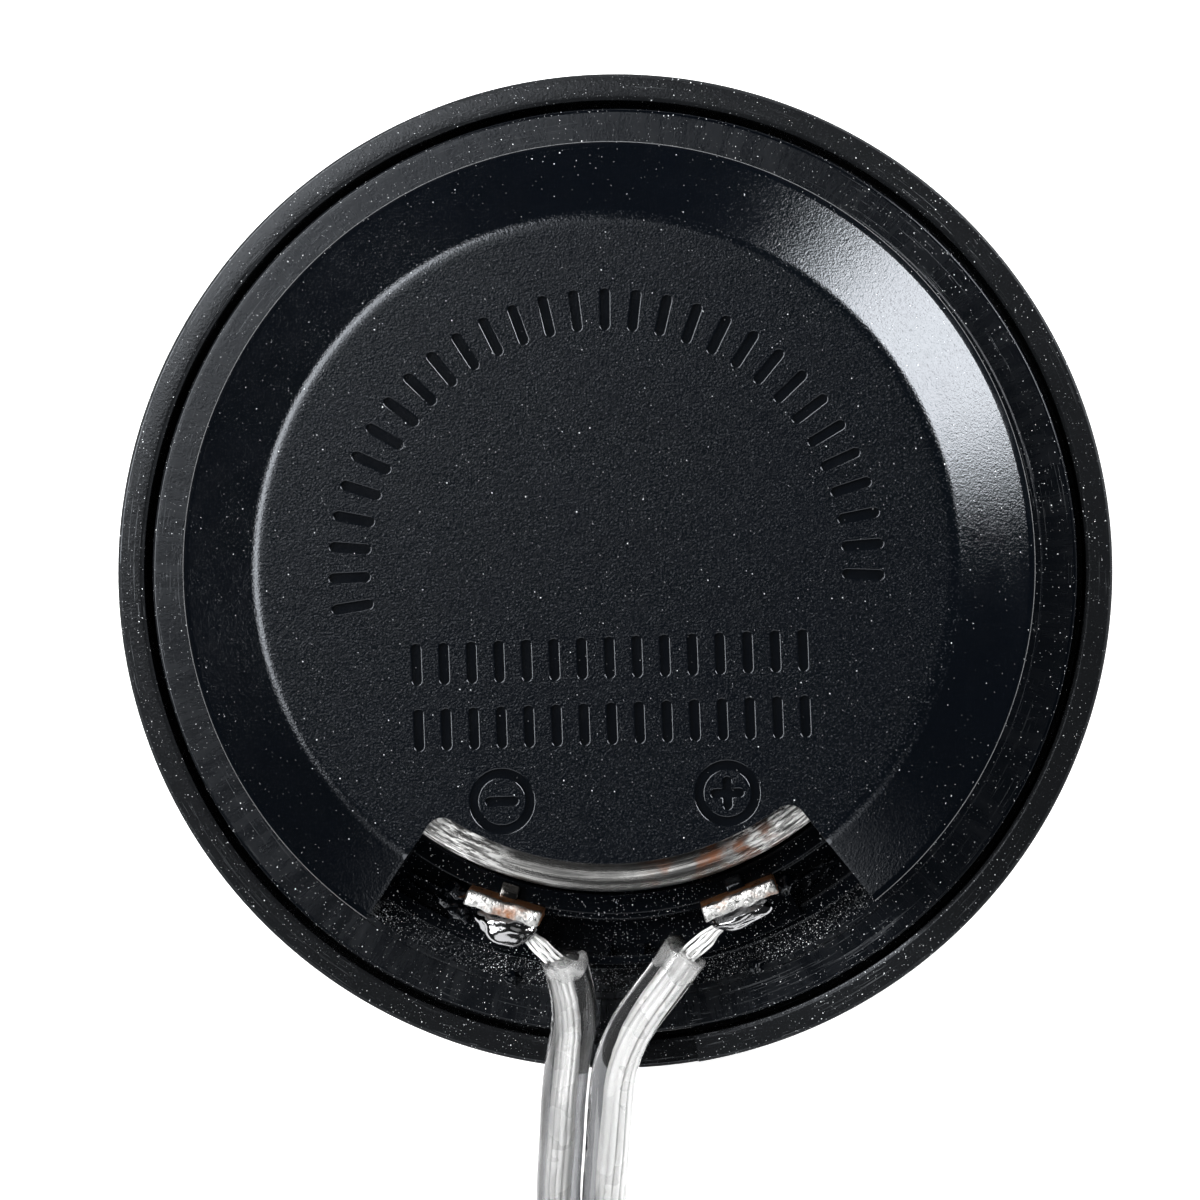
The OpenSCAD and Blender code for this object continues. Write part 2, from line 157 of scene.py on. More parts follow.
def fillet(corners, steps):
    """A closed outline of (r, z) from corners (r, z, radius)."""
    out = []
    n = len(corners)
    for i, (x, y, rad) in enumerate(corners):
        a = Vector(corners[i - 1][:2]) - Vector((x, y))
        b = Vector(corners[(i + 1) % n][:2]) - Vector((x, y))
        if rad <= 0:
            out.append((x, y))
            continue
        la, lb = a.length, b.length
        a.normalize()
        b.normalize()
        half = math.acos(max(-1, min(1, a.dot(b)))) / 2
        reach = min(rad / math.tan(half), la * 0.49, lb * 0.49)
        radius = reach * math.tan(half)
        centre = Vector((x, y)) + (a + b).normalized() * (radius / math.sin(half))
        p0, p1 = Vector((x, y)) + a * reach, Vector((x, y)) + b * reach
        a0 = math.atan2(*(p0 - centre).yx)
        a1 = math.atan2(*(p1 - centre).yx)
        turn = (a1 - a0 + math.pi) % (2 * math.pi) - math.pi
        for k in range(steps + 1):
            t = a0 + turn * k / steps
            out.append((centre.x + radius * math.cos(t), centre.y + radius * math.sin(t)))
    return out


def lengths(section):
    total, out = 0.0, [0.0]
    for p, q in zip(section, section[1:] + section[:1]):
        total += math.dist(p, q)
        out.append(total)
    return out


def spin(name, section_at, angles, uv_radius):
    """A ring whose closed section, a list of (r, z), may change with the angle in degrees."""
    sections = [section_at(a) for a in angles]
    points = []
    for a, section in zip(angles, sections):
        points += [(*polar(r, math.radians(a)), z) for r, z in section]
    turns = [math.radians(a) * uv_radius for a in angles + [angles[0] + 360]]
    faces = grid(len(angles), len(sections[0]), closed=True)
    return add_mesh(name, points, faces, grid_uvs(turns, lengths(sections[0])))


def disc_spin(name, section, segments, uv_radius):
    """A solid from an open section of (r, z): both ends are closed with a flat face."""
    m = len(section)
    points = []
    for i in range(segments):
        points += [(*polar(r, 2 * math.pi * (i + 0.5) / segments), z) for r, z in section]
    faces = grid(segments, m, closed=True, wrap=False)
    turns = [2 * math.pi * k / segments * uv_radius for k in range(segments + 1)]
    uvs = grid_uvs(turns, lengths(section)[:m])
    for cap in (range(0, segments * m, m)[::-1], range(m - 1, segments * m, m)):
        faces.append(list(cap))
        uvs.append([points[p][:2] for p in cap])
    return add_mesh(name, points, faces, uvs)


def frames_along(path):
    """Unit tangent, side and up vectors along a path, turned as little as possible."""
    tangents = []
    for i in range(len(path)):
        a, b = path[max(i - 1, 0)], path[min(i + 1, len(path) - 1)]
        tangents.append((b - a).normalized())
    side = tangents[0].cross(Vector((0, 0, 1)))
    side = side.normalized() if side.length > 1e-6 else Vector((1, 0, 0))
    out = []
    for t in tangents:
        side = (side - t * side.dot(t)).normalized()
        out.append((t, side, t.cross(side)))
    return out


def sweep(name, path, ring_at, count, smooth_angle=60.0):
    """A closed tube along a path in mm. ring_at(i, k) gives (side, up) offsets of point k of ring i."""
    points = []
    for i, (p, (_, s, u)) in enumerate(zip(path, frames_along(path))):
        for k in range(count):
            a, b = ring_at(i, k)
            points.append(tuple(p + s * a + u * b))
    faces = grid(len(path), count) + end_faces(len(path), count)
    return add_mesh(name, points, faces, None, smooth_angle)


def smooth_path(points, step):
    """A Catmull-Rom curve through the points, resampled about every step mm."""
    p = [Vector(q) for q in points]
    p = [2 * p[0] - p[1]] + p + [2 * p[-1] - p[-2]]
    dense = []
    for i in range(1, len(p) - 2):
        for k in range(24):
            t = k / 24
            a, b, c, d = p[i - 1], p[i], p[i + 1], p[i + 2]
            square, cube = 2 * a - 5 * b + 4 * c - d, 3 * b - a - 3 * c + d
            dense.append(0.5 * (2 * b + (c - a) * t + square * t * t + cube * t**3))
    dense.append(p[-2])
    return resample(dense, step)


def resample(dense, step):
    total = sum((b - a).length for a, b in zip(dense, dense[1:]))
    count = max(2, round(total / step))
    out, i, done = [dense[0]], 0, 0.0
    for k in range(1, count):
        want = total * k / count
        while done + (dense[i + 1] - dense[i]).length < want:
            done += (dense[i + 1] - dense[i]).length
            i += 1
        seg = (dense[i + 1] - dense[i]).length
        out.append(dense[i].lerp(dense[i + 1], (want - done) / seg))
    out.append(dense[-1])
    return out


def cut_to(path, length):
    """The first length mm of a path, and the rest of it."""
    done = 0.0
    for i, (a, b) in enumerate(zip(path, path[1:])):
        seg = (b - a).length
        if done + seg >= length:
            middle = a.lerp(b, (length - done) / seg)
            return path[: i + 1] + [middle], [middle] + path[i + 1 :]
        done += seg
    return path, path[-2:]


def smoothstep(a, b, x):
    t = max(0.0, min(1.0, (x - a) / (b - a)))
    return t * t * (3 - 2 * t)


def at_notch(angle, r, across=0.0):
    """A point at a radius and an angle in degrees from the notch's centre, then across in mm."""
    a = math.radians(angle)
    return r * math.sin(a) + across * math.cos(a), across * math.sin(a) - r * math.cos(a)


def from_notch(angle):
    return (angle + 90 + 180) % 360 - 180


def notch_angle(x, y):
    return from_notch(math.degrees(math.atan2(y, x)))


# ---------------------------------------------------------------- materials


class Nodes:
    """A short way to write a material's nodes."""

    def __init__(self, name):
        self.mat = bpy.data.materials.new(name)
        self.mat.use_nodes = True
        self.tree = self.mat.node_tree
        self.tree.nodes.clear()
        self.out = self.add("ShaderNodeOutputMaterial")
        self.bsdf = self.add("ShaderNodeBsdfPrincipled")
        self.link(self.bsdf.outputs[0], self.out.inputs["Surface"])

    def add(self, kind, **values):
        node = self.tree.nodes.new(kind)
        for key, value in values.items():
            setattr(node, key, value)
        return node

    def link(self, a, b):
        self.tree.links.new(a, b)

    def surface(self, color=None, rough=None, normal=None, **uniform):
        """Links and sets the shader's inputs, and gives the material."""
        for key, source in (("Base Color", color), ("Roughness", rough), ("Normal", normal)):
            if source is not None:
                self.link(source, self.bsdf.inputs[key])
        for key, value in uniform.items():
            self.bsdf.inputs[key.replace("_", " ")].default_value = value
        return self.mat

    def coords(self, kind="Object", scale=(1000, 1000, 1000), turn=(0, 0, 0)):
        source = self.add("ShaderNodeTexCoord").outputs[kind]
        mapping = self.add("ShaderNodeMapping")
        mapping.inputs["Scale"].default_value = scale
        mapping.inputs["Rotation"].default_value = turn
        self.link(source, mapping.inputs["Vector"])
        return mapping.outputs[0]

    def noise(self, vector, scale, detail=3.0, rough=0.55):
        node = self.add("ShaderNodeTexNoise")
        self.link(vector, node.inputs["Vector"])
        node.inputs["Scale"].default_value = scale
        node.inputs["Detail"].default_value = detail
        node.inputs["Roughness"].default_value = rough
        return node.outputs["Fac"]

    def cells(self, vector, scale):
        node = self.add("ShaderNodeTexVoronoi")
        self.link(vector, node.inputs["Vector"])
        node.inputs["Scale"].default_value = scale
        return node

    def math(self, op, a, b=None):
        node = self.add("ShaderNodeMath", operation=op)
        for value, socket in ((a, node.inputs[0]), (b, node.inputs[1])):
            if value is None:
                continue
            if isinstance(value, (int, float)):
                socket.default_value = value
            else:
                self.link(value, socket)
        return node.outputs[0]

    def band(self, value, low, high, to_low=0.0, to_high=1.0):
        node = self.add("ShaderNodeMapRange")
        self.link(value, node.inputs["Value"])
        for key, limit in (("From Min", low), ("From Max", high), ("To Min", to_low), ("To Max", to_high)):
            node.inputs[key].default_value = limit
        return node.outputs["Result"]

    def mix(self, fac, a, b):
        node = self.add("ShaderNodeMix", data_type="RGBA")
        self.link(fac, node.inputs[0])
        for value, socket in ((a, node.inputs[6]), (b, node.inputs[7])):
            if isinstance(value, tuple):
                socket.default_value = (*value, 1.0)
            else:
                self.link(value, socket)
        return node.outputs[2]

    def bump(self, height, distance, strength=1.0, before=None):
        node = self.add("ShaderNodeBump")
        node.inputs["Distance"].default_value = distance * MM
        node.inputs["Strength"].default_value = strength
        self.link(height, node.inputs["Height"])
        if before is not None:
            self.link(before, node.inputs["Normal"])
        return node.outputs[0]


def dust_mask(n, vector, per_mm=1.6, share=0.3, size=0.045):
    """White specks: a small dot in some of the cells of a random pattern, more of them at the notch."""
    cells = n.cells(vector, per_mm)
    split = n.add("ShaderNodeSeparateColor")
    n.link(cells.outputs["Color"], split.inputs[0])
    place = n.add("ShaderNodeSeparateXYZ")
    n.link(vector, place.inputs[0])
    chosen = n.math("LESS_THAN", split.outputs[0], n.band(place.outputs[1], -13.0, -19.0, share, share * 2.2))
    radius = n.band(split.outputs[1], 0, 1, size * per_mm * 0.4, size * per_mm)
    dot = n.math("LESS_THAN", cells.outputs["Distance"], radius)
    patchy = n.band(n.noise(vector, 0.22, 2.0), 0.3, 0.6, 0.25, 1.0)
    return n.math("MULTIPLY", n.math("MULTIPLY", dot, chosen), patchy)


def black_plastic(
    name,
    color=(0.0006, 0.001, 0.0018),
    rough=0.32,
    grain=0.01,
    grain_per_mm=9.0,
    dust=0.4,
    scratches=0.0,
    gloss=0.36,
    speck=0.7,
    smears=0.0,
    painted_glint=0.0,
    dust_scale=1.0,
):
    """Moulded black plastic with a spark-eroded grain and dust; scratches and smears run round the ring;
    where asked, painted glints lighten the grain's peaks.
    """
    n = Nodes(name)
    place = n.coords()
    base = n.mix(n.noise(place, 0.35, 4.0), color, tuple(c * 1.5 for c in color))
    specks = dust_mask(n, place, 3.8 * dust_scale, dust * 0.4, 0.031)
    fine = dust_mask(n, place, 7.0 * dust_scale, dust * 0.6, 0.021)
    specks = n.math("MAXIMUM", specks, n.math("MULTIPLY", fine, 0.45))
    roughness = n.band(n.noise(place, 0.8, 5.0), 0.3, 0.7, rough - 0.02, rough + 0.02)
    coarse = n.math("MULTIPLY", n.noise(place, grain_per_mm * 0.45, 1.0), 0.45)
    grains = n.noise(place, grain_per_mm, 2.5)
    height = n.math("ADD", grains, coarse)
    # painted highlight: glints in the base colour on the peaks of the grain
    if painted_glint > 0:
        base = n.mix(n.band(grains, 0.59, 0.74), base, (painted_glint * 0.8, painted_glint * 0.88, painted_glint))
    normal = n.bump(height, grain)
    if scratches > 0:
        strokes = None
        for turn, scale in ((0.0, (0.07, 6.0, 1.0)), (0.03, (0.12, 10.0, 1.0)), (-0.8, (0.4, 9.0, 1.0))):
            across = n.coords("UV", scale, (0, 0, turn))
            line = n.band(n.noise(across, 1.0, 3.0, 0.7), 0.63, 0.69)
            strokes = line if strokes is None else n.math("MAXIMUM", strokes, line)
        strokes = n.math("MULTIPLY", strokes, n.band(n.noise(place, 0.25, 2.0), 0.42, 0.6))
        base = n.mix(n.math("MULTIPLY", strokes, scratches), base, (0.1, 0.105, 0.11))
        roughness = n.math("ADD", roughness, n.math("MULTIPLY", strokes, 0.15))
        normal = n.bump(strokes, 0.006, 0.8, normal)
    if smears > 0:
        rubbed = n.noise(n.coords("UV", (1.1, 0.16, 1), (0, 0, 0.45)), 1.0, 5.0, 0.7)
        roughness = n.math("ADD", roughness, n.band(rubbed, 0.35, 0.7, -smears, smears))
        normal = n.bump(rubbed, 0.006, 0.8, normal)
    base = n.mix(specks, base, (speck, speck * 1.03, speck * 1.06))
    roughness = n.math("MAXIMUM", roughness, n.math("MULTIPLY", specks, 0.8))
    return n.surface(
        base, roughness, normal, IOR=1.5, Specular_IOR_Level=gloss, Specular_Tint=(0.88, 0.93, 1.0, 1.0)
    )


def metal(name, color, rough, grain=0.004, per_mm=3.0, stain=None, stain_at=(0.58, 0.7)):
    """A metal with uneven roughness and, where asked for, stains."""
    n = Nodes(name)
    place = n.coords()
    base = n.mix(n.noise(place, 1.3, 4.0), color, tuple(c * 0.72 for c in color))
    roughness = n.band(n.noise(place, per_mm, 4.0), 0.3, 0.7, rough * 0.65, rough * 1.5)
    normal = n.bump(n.noise(place, per_mm, 4.0), grain)
    if stain:
        patch = n.band(n.noise(place, 0.55, 5.0, 0.6), *stain_at)
        base = n.mix(patch, base, stain)
        roughness = n.math("ADD", roughness, n.math("MULTIPLY", patch, 0.35))
    return n.surface(base, roughness, normal, Metallic=1.0)


def worn_cup(name):
    """Rolled steel: long rubbed lines, bright scratches at the notch's ends, rust right of its middle, and
    painted shade down its wall.
    """
    n = Nodes(name)
    place = n.coords()
    axes = n.add("ShaderNodeSeparateXYZ")
    n.link(place, axes.inputs[0])
    worn = n.noise(n.coords("UV", (0.14, 3.6, 1)), 1.0, 5.0, 0.68)
    base = n.mix(n.band(worn, 0.4, 0.64), (0.045, 0.045, 0.045), (0.33, 0.327, 0.32))
    blotch = n.band(n.noise(place, 0.9, 4.0), 0.38, 0.62)
    base = n.mix(n.math("MULTIPLY", blotch, 0.55), base, (0.09, 0.09, 0.088))
    # painted shade: the base colour darkens down the cup's wall, into the notch
    low = n.band(axes.outputs[2], 13.35, 12.5, 0.0, 0.75)
    base = n.mix(low, base, (0.035, 0.035, 0.035))
    strokes = n.band(n.noise(n.coords("UV", (0.9, 5.5, 1), (0, 0, 0.35)), 1.0, 4.0, 0.7), 0.47, 0.57)
    ends = n.band(n.math("ABSOLUTE", axes.outputs[0]), 4.6, 7.2)
    strokes = n.math("MULTIPLY", strokes, ends)
    base = n.mix(strokes, base, (0.95, 0.95, 0.94))
    rust = n.band(n.noise(place, 0.62, 5.0, 0.6), 0.5, 0.64)
    rust = n.math("MULTIPLY", rust, n.band(axes.outputs[0], 0.8, 3.2))
    base = n.mix(n.math("MULTIPLY", rust, 0.8), base, (0.17, 0.065, 0.03))
    roughness = n.math("ADD", n.band(worn, 0.35, 0.65, 0.36, 0.2), n.math("MULTIPLY", strokes, 0.2))
    normal = n.bump(strokes, 0.02, 0.8, n.bump(worn, 0.03, 0.8))
    return n.surface(base, roughness, normal, Metallic=1.0)


def woven(name, color, per_mm=6.0, rough=0.75, bump=0.03):
    """Fine coated cloth: two crossing wave patterns."""
    n = Nodes(name)
    place = n.coords()
    waves = []
    for direction in ("X", "Y"):
        w = n.add("ShaderNodeTexWave", bands_direction=direction)
        n.link(place, w.inputs["Vector"])
        w.inputs["Scale"].default_value = per_mm
        w.inputs["Distortion"].default_value = 0.6
        waves.append(w.outputs["Fac"])
    threads = n.math("MULTIPLY", waves[0], waves[1])
    base = n.mix(threads, tuple(c * 0.5 for c in color), color)
    roughness = n.band(n.noise(place, 1.5, 3.0), 0.3, 0.7, rough - 0.1, rough + 0.1)
    return n.surface(base, roughness, n.bump(threads, bump), Sheen_Weight=0.2)


def clear_vinyl(name):
    """Clear insulation, with painted shade: a vertex colour darkens the underside of the wire, and its sides
    where asked.
    """
    n = Nodes(name)
    place = n.coords()
    roughness = n.band(n.noise(place, 0.5, 2.0), 0.35, 0.7, 0.015, 0.07)
    normal = n.bump(n.noise(place, 0.45, 1.0), 0.035)
    clear = n.mix(n.noise(place, 0.3, 2.0), (1.0, 1.0, 1.0), (0.965, 0.97, 0.97))
    painted_shade_fac = n.add("ShaderNodeVertexColor", layer_name="painted_underside_shade").outputs["Color"]
    base = n.mix(painted_shade_fac, clear, (0.03, 0.031, 0.034))
    return n.surface(base, roughness, normal, Transmission_Weight=0.98, IOR=1.5)


def cloudy_vinyl(name):
    """The torn, whitened end of the insulation."""
    n = Nodes(name)
    cloud = n.noise(n.coords(), 2.4, 4.0, 0.6)
    base = n.mix(n.band(cloud, 0.35, 0.65), (0.92, 0.92, 0.92), (0.99, 0.99, 0.99))
    roughness = n.band(cloud, 0.3, 0.7, 0.05, 0.16)
    return n.surface(base, roughness, n.bump(cloud, 0.035), Transmission_Weight=0.84, IOR=1.45)


def wire_metal(name):
    """Bright tinned copper, with painted shade in the valleys between strands, which a vertex colour on the
    mesh marks.
    """
    n = Nodes(name)
    place = n.coords()
    bright = n.mix(n.noise(place, 0.4, 2.0), (0.99, 0.99, 0.985), (0.9, 0.9, 0.895))
    # painted shade between the strands
    groove = n.add("ShaderNodeVertexColor", layer_name="groove").outputs["Color"]
    base = n.mix(groove, bright, (0.25, 0.25, 0.25))
    roughness = n.band(n.noise(place, 0.5, 2.0), 0.3, 0.7, 0.22, 0.36)
    return n.surface(base, roughness, Metallic=0.2)


SMOOTH = {"rough": 0.11, "grain": 0.001, "grain_per_mm": 4.0, "dust": 0.3}
BACK = {"rough": 0.15, "grain_per_mm": 11.0, "dust": 0.3, "gloss": 0.42}
DUSTY_BLACK = (0.005, 0.0054, 0.006)
RING = {"rough": 0.19, "grain": 0.008, "scratches": 0.3, "gloss": 0.34, "painted_glint": 0.016}
FRAME = {"rough": 0.28, "grain": 0.006, "scratches": 0.18, "gloss": 0.4, "smears": 0.06}
LEDGE = {"rough": 0.22, "grain": 0.03, "grain_per_mm": 6.0, "gloss": 0.3, "dust_scale": 1.9}
MAT = {
    "back": black_plastic("moulded_black_back", grain=0.015, painted_glint=0.034, **BACK),
    "floor_of_marks": black_plastic(
        "moulded_black_polished", rough=0.13, grain=0.0015, grain_per_mm=3.0, dust=0.1, gloss=0.8
    ),
    "bevel": black_plastic("moulded_black_bevel", grain=0.014, **BACK),
    "foot_band": black_plastic("moulded_black_smooth", **SMOOTH),
    "ring": black_plastic("moulded_black_ring", DUSTY_BLACK, dust=1.3, speck=0.9, **RING),
    "rim": black_plastic(
        "moulded_black_rim", DUSTY_BLACK, 0.55, grain=0.02, grain_per_mm=4.0, dust=1.6, gloss=0.18, speck=0.9
    ),
    "frame": black_plastic("moulded_black_frame", dust=1.1, speck=0.9, **FRAME),
    "pocket": black_plastic(
        "moulded_black_pocket", rough=0.2, grain=0.004, dust=0.9, gloss=0.16, speck=1.0, dust_scale=1.3
    ),
    "ledge": black_plastic("moulded_black_dusty", dust=1.5, speck=1.0, **LEDGE),
    "inner": black_plastic("moulded_black_inner", rough=0.4, grain=0.01, dust=0.1),
    "melted": black_plastic("moulded_black_melted", rough=0.12, grain=0.02, grain_per_mm=1.6, dust=0.1),
    "cup": worn_cup("motor_steel_worn"),
    "plate": metal("motor_steel_plain", (0.55, 0.54, 0.52), 0.35, 0.01, 2.0, (0.1, 0.05, 0.03), (0.66, 0.74)),
    "magnet": metal("plated_magnet_nickel", (0.68, 0.66, 0.62), 0.16, 0.004, 1.5),
    "tab": metal("tab_brass_strip", (0.72, 0.33, 0.14), 0.35, 0.02, 3.0, (0.12, 0.05, 0.025), (0.5, 0.66)),
    "tin": metal("solder_tinned_edge", (0.66, 0.66, 0.65), 0.3, 0.08, 5.5, (0.3, 0.14, 0.07), (0.52, 0.66)),
    "solder": metal("solder_bead", (0.3, 0.3, 0.31), 0.11, 0.03, 1.3),
    "strand": wire_metal("tinned_strands_wire"),
    "cloudy": cloudy_vinyl("cloudy_insulation_vinyl"),
    "flux": metal("solder_flux_dark", (0.14, 0.135, 0.13), 0.1, 0.03, 2.0),
    "copper": metal("copper_wire_lacquered", (0.72, 0.3, 0.14), 0.25, 0.004, 4.0),
    "foil": metal("former_foil_bright", (0.8, 0.81, 0.83), 0.22, 0.003, 1.0),
    "grille": black_plastic("grille_steel_powder", (0.012, 0.012, 0.013), 0.42, 0.01, 5.0, 0.08),
    "dome": woven("dome_cloth_silk", (0.016, 0.016, 0.018)),
    "felt": woven("felt_grey", (0.16, 0.16, 0.17), 2.5, 0.95, 0.15),
    "vinyl": clear_vinyl("clear_insulation_vinyl"),
    "tie": black_plastic("tie_plastic_black", (0.01, 0.01, 0.011), 0.38, 0.004, 3.0, 0.1),
}

# ---------------------------------------------------------------- the two conductors

WIRE_R = 1.1
CORD_LENGTH = 1000.0
BARE_END = 6.0
SKIN_SIDES = 28
LOBES, LOBE_SIDES = 8, 7
STRAND_R, STRAND_SIDES = 0.075, 8
# where the painted shade on the insulation turns clear along the wire, and over how many mm
PAINTED_SHADE_CLEAR_FROM, PAINTED_SHADE_FADE = 22.0, 4.0
NEAR_LENGTH, NEAR_STEP, FAR_STEP = 40.0, 0.4, 1.1
NEGATIVE_ROUTE = [
    (-2.9, -18.5, 9.8), (-2.6, -20.0, 9.2), (-2.6, -21.6, 8.3), (-3.0, -23.4, 7.5),
    (-3.3, -25.2, 6.7), (-3.5, -26.8, 5.6), (-3.7, -28.2, 4.3), (-3.9, -29.7, 3.0),
    (-4.0, -31.3, 1.9), (-4.1, -33.3, 1.3), (-4.3, -35.4, 1.2), (-4.5, -37.6, 1.2),
    (-4.9, -39.8, 1.2), (-5.4, -42.0, 1.3), (-6.1, -44.2, 1.4),
]
POSITIVE_ROUTE = [
    (2.9, -18.4, 9.8), (2.0, -19.6, 9.4), (0.9, -20.9, 8.8), (-0.1, -22.3, 8.1),
    (-0.8, -24.0, 7.4), (-1.1, -25.8, 6.4), (-1.3, -27.3, 5.2), (-1.5, -28.7, 3.9),
    (-1.7, -30.2, 2.7), (-1.8, -32.0, 1.7), (-1.9, -34.0, 1.3), (-2.1, -36.2, 1.5),
    (-2.4, -38.3, 2.0), (-3.2, -40.4, 2.8), (-4.6, -42.7, 3.5),
]
COIL_AT = (10.9, -54.5)
COIL_OUTER, COIL_INNER = 19.3, 12.7
COIL_FROM, COIL_STEP = 156.0, 4.0
TURNS_PER_LAYER = 3.0
RAMP_TURNS = 0.2
LAYER_RISE = 4.4


def coil_points(z_first):
    """Points in layers that spiral in, out and in again, with a short ramp between them."""
    out, angle = [], COIL_FROM

    def add(r, z):
        x, y = polar(r, math.radians(angle))
        out.append(Vector((COIL_AT[0] + x, COIL_AT[1] + y, z)))

    turn = round(TURNS_PER_LAYER * 360 / COIL_STEP)
    ramp = round(RAMP_TURNS * 360 / COIL_STEP)
    edges = [(COIL_OUTER, COIL_INNER), (COIL_INNER, COIL_OUTER), (COIL_OUTER, COIL_INNER)]
    for layer, (r0, r1) in enumerate(edges):
        z = z_first + layer * LAYER_RISE
        last = layer == len(edges) - 1
        for k in range(turn):
            add(r0 + (r1 - r0) * k / turn, z)
            angle += COIL_STEP
        for k in range(8 * ramp if last else ramp):
            add(r1, z + (0.0 if last else LAYER_RISE * smoothstep(0, ramp, k)))
            angle += COIL_STEP
    return out


def whole_route(route, z_first):
    path = smooth_path([Vector(p) for p in route] + coil_points(z_first), 1.0)
    near, far = cut_to(path, NEAR_LENGTH)
    return resample(near, NEAR_STEP)[:-1] + resample(far, FAR_STEP)


def paint_points(obj, name, values):
    """A vertex colour, from one grey value for each point."""
    layer = obj.data.color_attributes.new(name, "FLOAT_COLOR", "POINT")
    layer.data.foreach_set("color", [c for v in values for c in (v, v, v, 1.0)])


def make_lead(name, route, z_first, offset, thick, painted_side_shade):
    """Insulation and core. Painted shade darkens the insulation's underside, and its sides where asked; past
    a set length along the wire the underside turns from dark to clear.
    """
    path, _ = cut_to(whole_route(route, z_first), CORD_LENGTH)
    covered, bare = cut_to(path, CORD_LENGTH - BARE_END)

    def skin(i, k):
        # the section is not perfectly round
        a = 2 * math.pi * k / SKIN_SIDES
        return polar(0.99 * WIRE_R * (1 + 0.015 * math.sin(3 * a + i * 0.07)), a)

    tube = sweep(name + "_insulation", covered, skin, SKIN_SIDES)
    slant_end(tube, SKIN_SIDES, 0.22)
    values, done = [], 0.0
    for i, p in enumerate(covered):
        done += (p - covered[max(i - 1, 0)]).length
        near = smoothstep(PAINTED_SHADE_CLEAR_FROM + PAINTED_SHADE_FADE, PAINTED_SHADE_CLEAR_FROM, done)
        for k in range(SKIN_SIDES):
            under = p.z - tube.data.vertices[i * SKIN_SIDES + k].co.z / MM
            edge = abs(math.cos(2 * math.pi * k / SKIN_SIDES))
            # painted shade: the insulation's colour darkens on the underside and at the sides, for the dark
            # seen through the clear vinyl
            dark = max(smoothstep(0.0, 0.35, under), painted_side_shade * smoothstep(0.62, 0.82, edge))
            values.append(dark * near)
    paint_points(tube, "painted_underside_shade", values)
    sides = LOBES * LOBE_SIDES

    def lump(k):
        return abs(math.sin(LOBES * math.pi * k / sides))

    def bundle(i, k):
        a = 2 * math.pi * k / sides + i * 0.012
        wander = 0.02 * math.sin(i * 0.13 + 2.1 * (k // LOBE_SIDES))
        r = (0.31 + 0.13 * lump(k) ** 0.6 + wander * lump(k)) * thick
        aside = offset[1] + (offset[0] - offset[1]) * smoothstep(16, 2, i)
        return aside + r * math.cos(a), r * math.sin(a)

    core_path = covered + bare[1:]
    core = sweep(name + "_core", core_path, bundle, sides, smooth_angle=50.0)
    values = []
    # painted shade: a vertex colour darkens the valleys between the strand lobes, more in some than in others
    # along the wire
    for i in range(len(core_path)):
        for k in range(sides):
            depth = 0.5 + 0.5 * math.sin(i * 0.05 + 1.7 * round(LOBES * k / sides))
            values.append(depth * smoothstep(0.5, 0.0, lump(k)))
    paint_points(core, "groove", values)
    return tube, core, path


def torn_end(name, path, length, seed):
    """The whitened, ragged sleeve where the insulation was cut."""
    near, _ = cut_to(path, length + 0.3)
    near = resample(near, 0.08)
    rings, sides = len(near), 36
    points = []
    for wall in (0, 1):
        for i, (p, (t, u, v)) in enumerate(zip(near, frames_along(near))):
            share = i / (rings - 1)
            for k in range(sides):
                a = 2 * math.pi * k / sides
                c, d = math.cos(a), math.sin(a)
                rag = 0.16 * noise.noise(Vector((c * 2.3, d * 2.3, seed))) * (1 - share)
                rag += 0.4 * noise.noise(Vector((c * 1.7, d * 1.7, seed + 5))) * share
                skin = 0.03 * noise.noise(Vector((c * 2, d * 2, seed + i * 0.25)))
                outer = WIRE_R * (1.015 - 0.045 * share * share) + skin * 0.6
                r = 0.8 + 0.18 * share if wall else outer
                points.append(tuple(p + (u * c + v * d) * r + t * rag))
    n = rings * sides
    faces = grid(rings, sides) + grid(rings, sides, base=n)
    for i in (0, rings - 1):
        for k in range(sides):
            a, b = i * sides + k, i * sides + (k + 1) % sides
            faces.append((a, b, n + b, n + a))
    return add_mesh(name, points, faces, None, 60.0)


def slant_end(obj, sides, amount):
    """Makes the first ring of a tube a slanted, ragged cut."""
    mesh = obj.data
    a, b = (sum((mesh.vertices[i * sides + k].co for k in range(sides)), Vector()) / sides for i in (0, 3))
    back = (a - b).normalized()
    for k in range(sides):
        jag = amount * (math.sin(2 * math.pi * k / sides + 0.8) + 0.35 * math.sin(5.1 * k))
        mesh.vertices[k].co += back * jag * MM


def fray(name, start, end, count, gaps, rng):
    """Bare strands side by side, from a solder bead to the end of the insulation."""
    points, faces = [], []
    a, b = Vector(start), Vector(end)
    aside = (b - a).cross(Vector((0, 0, 1))).normalized()
    for s in range(count):
        place = s - (count - 1) / 2
        level = 0.1 * (1 if s % 2 else -1) + rng.uniform(-0.05, 0.05)
        path = []
        for k in range(7):
            t = k / 6
            gap = gaps[0] + (gaps[1] - gaps[0]) * t + 0.05 * math.sin(math.pi * t)
            sway = rng.uniform(-0.05, 0.05) * (0 < k < 6)
            rise = level + 0.2 * math.sin(math.pi * t) - 0.02 * place * place
            path.append(a.lerp(b, t) + aside * (place * gap + sway) + Vector((0, 0, rise)))
        path = smooth_path(path, 0.12)
        base = len(points)
        for p, (_, u, v) in zip(path, frames_along(path)):
            for k in range(STRAND_SIDES):
                g = 2 * math.pi * k / STRAND_SIDES
                points.append(tuple(p + (u * math.cos(g) + v * math.sin(g)) * STRAND_R))
        faces += grid(len(path), STRAND_SIDES, base=base) + end_faces(len(path), STRAND_SIDES, base)
    return add_mesh(name, points, faces, None, 60.0)


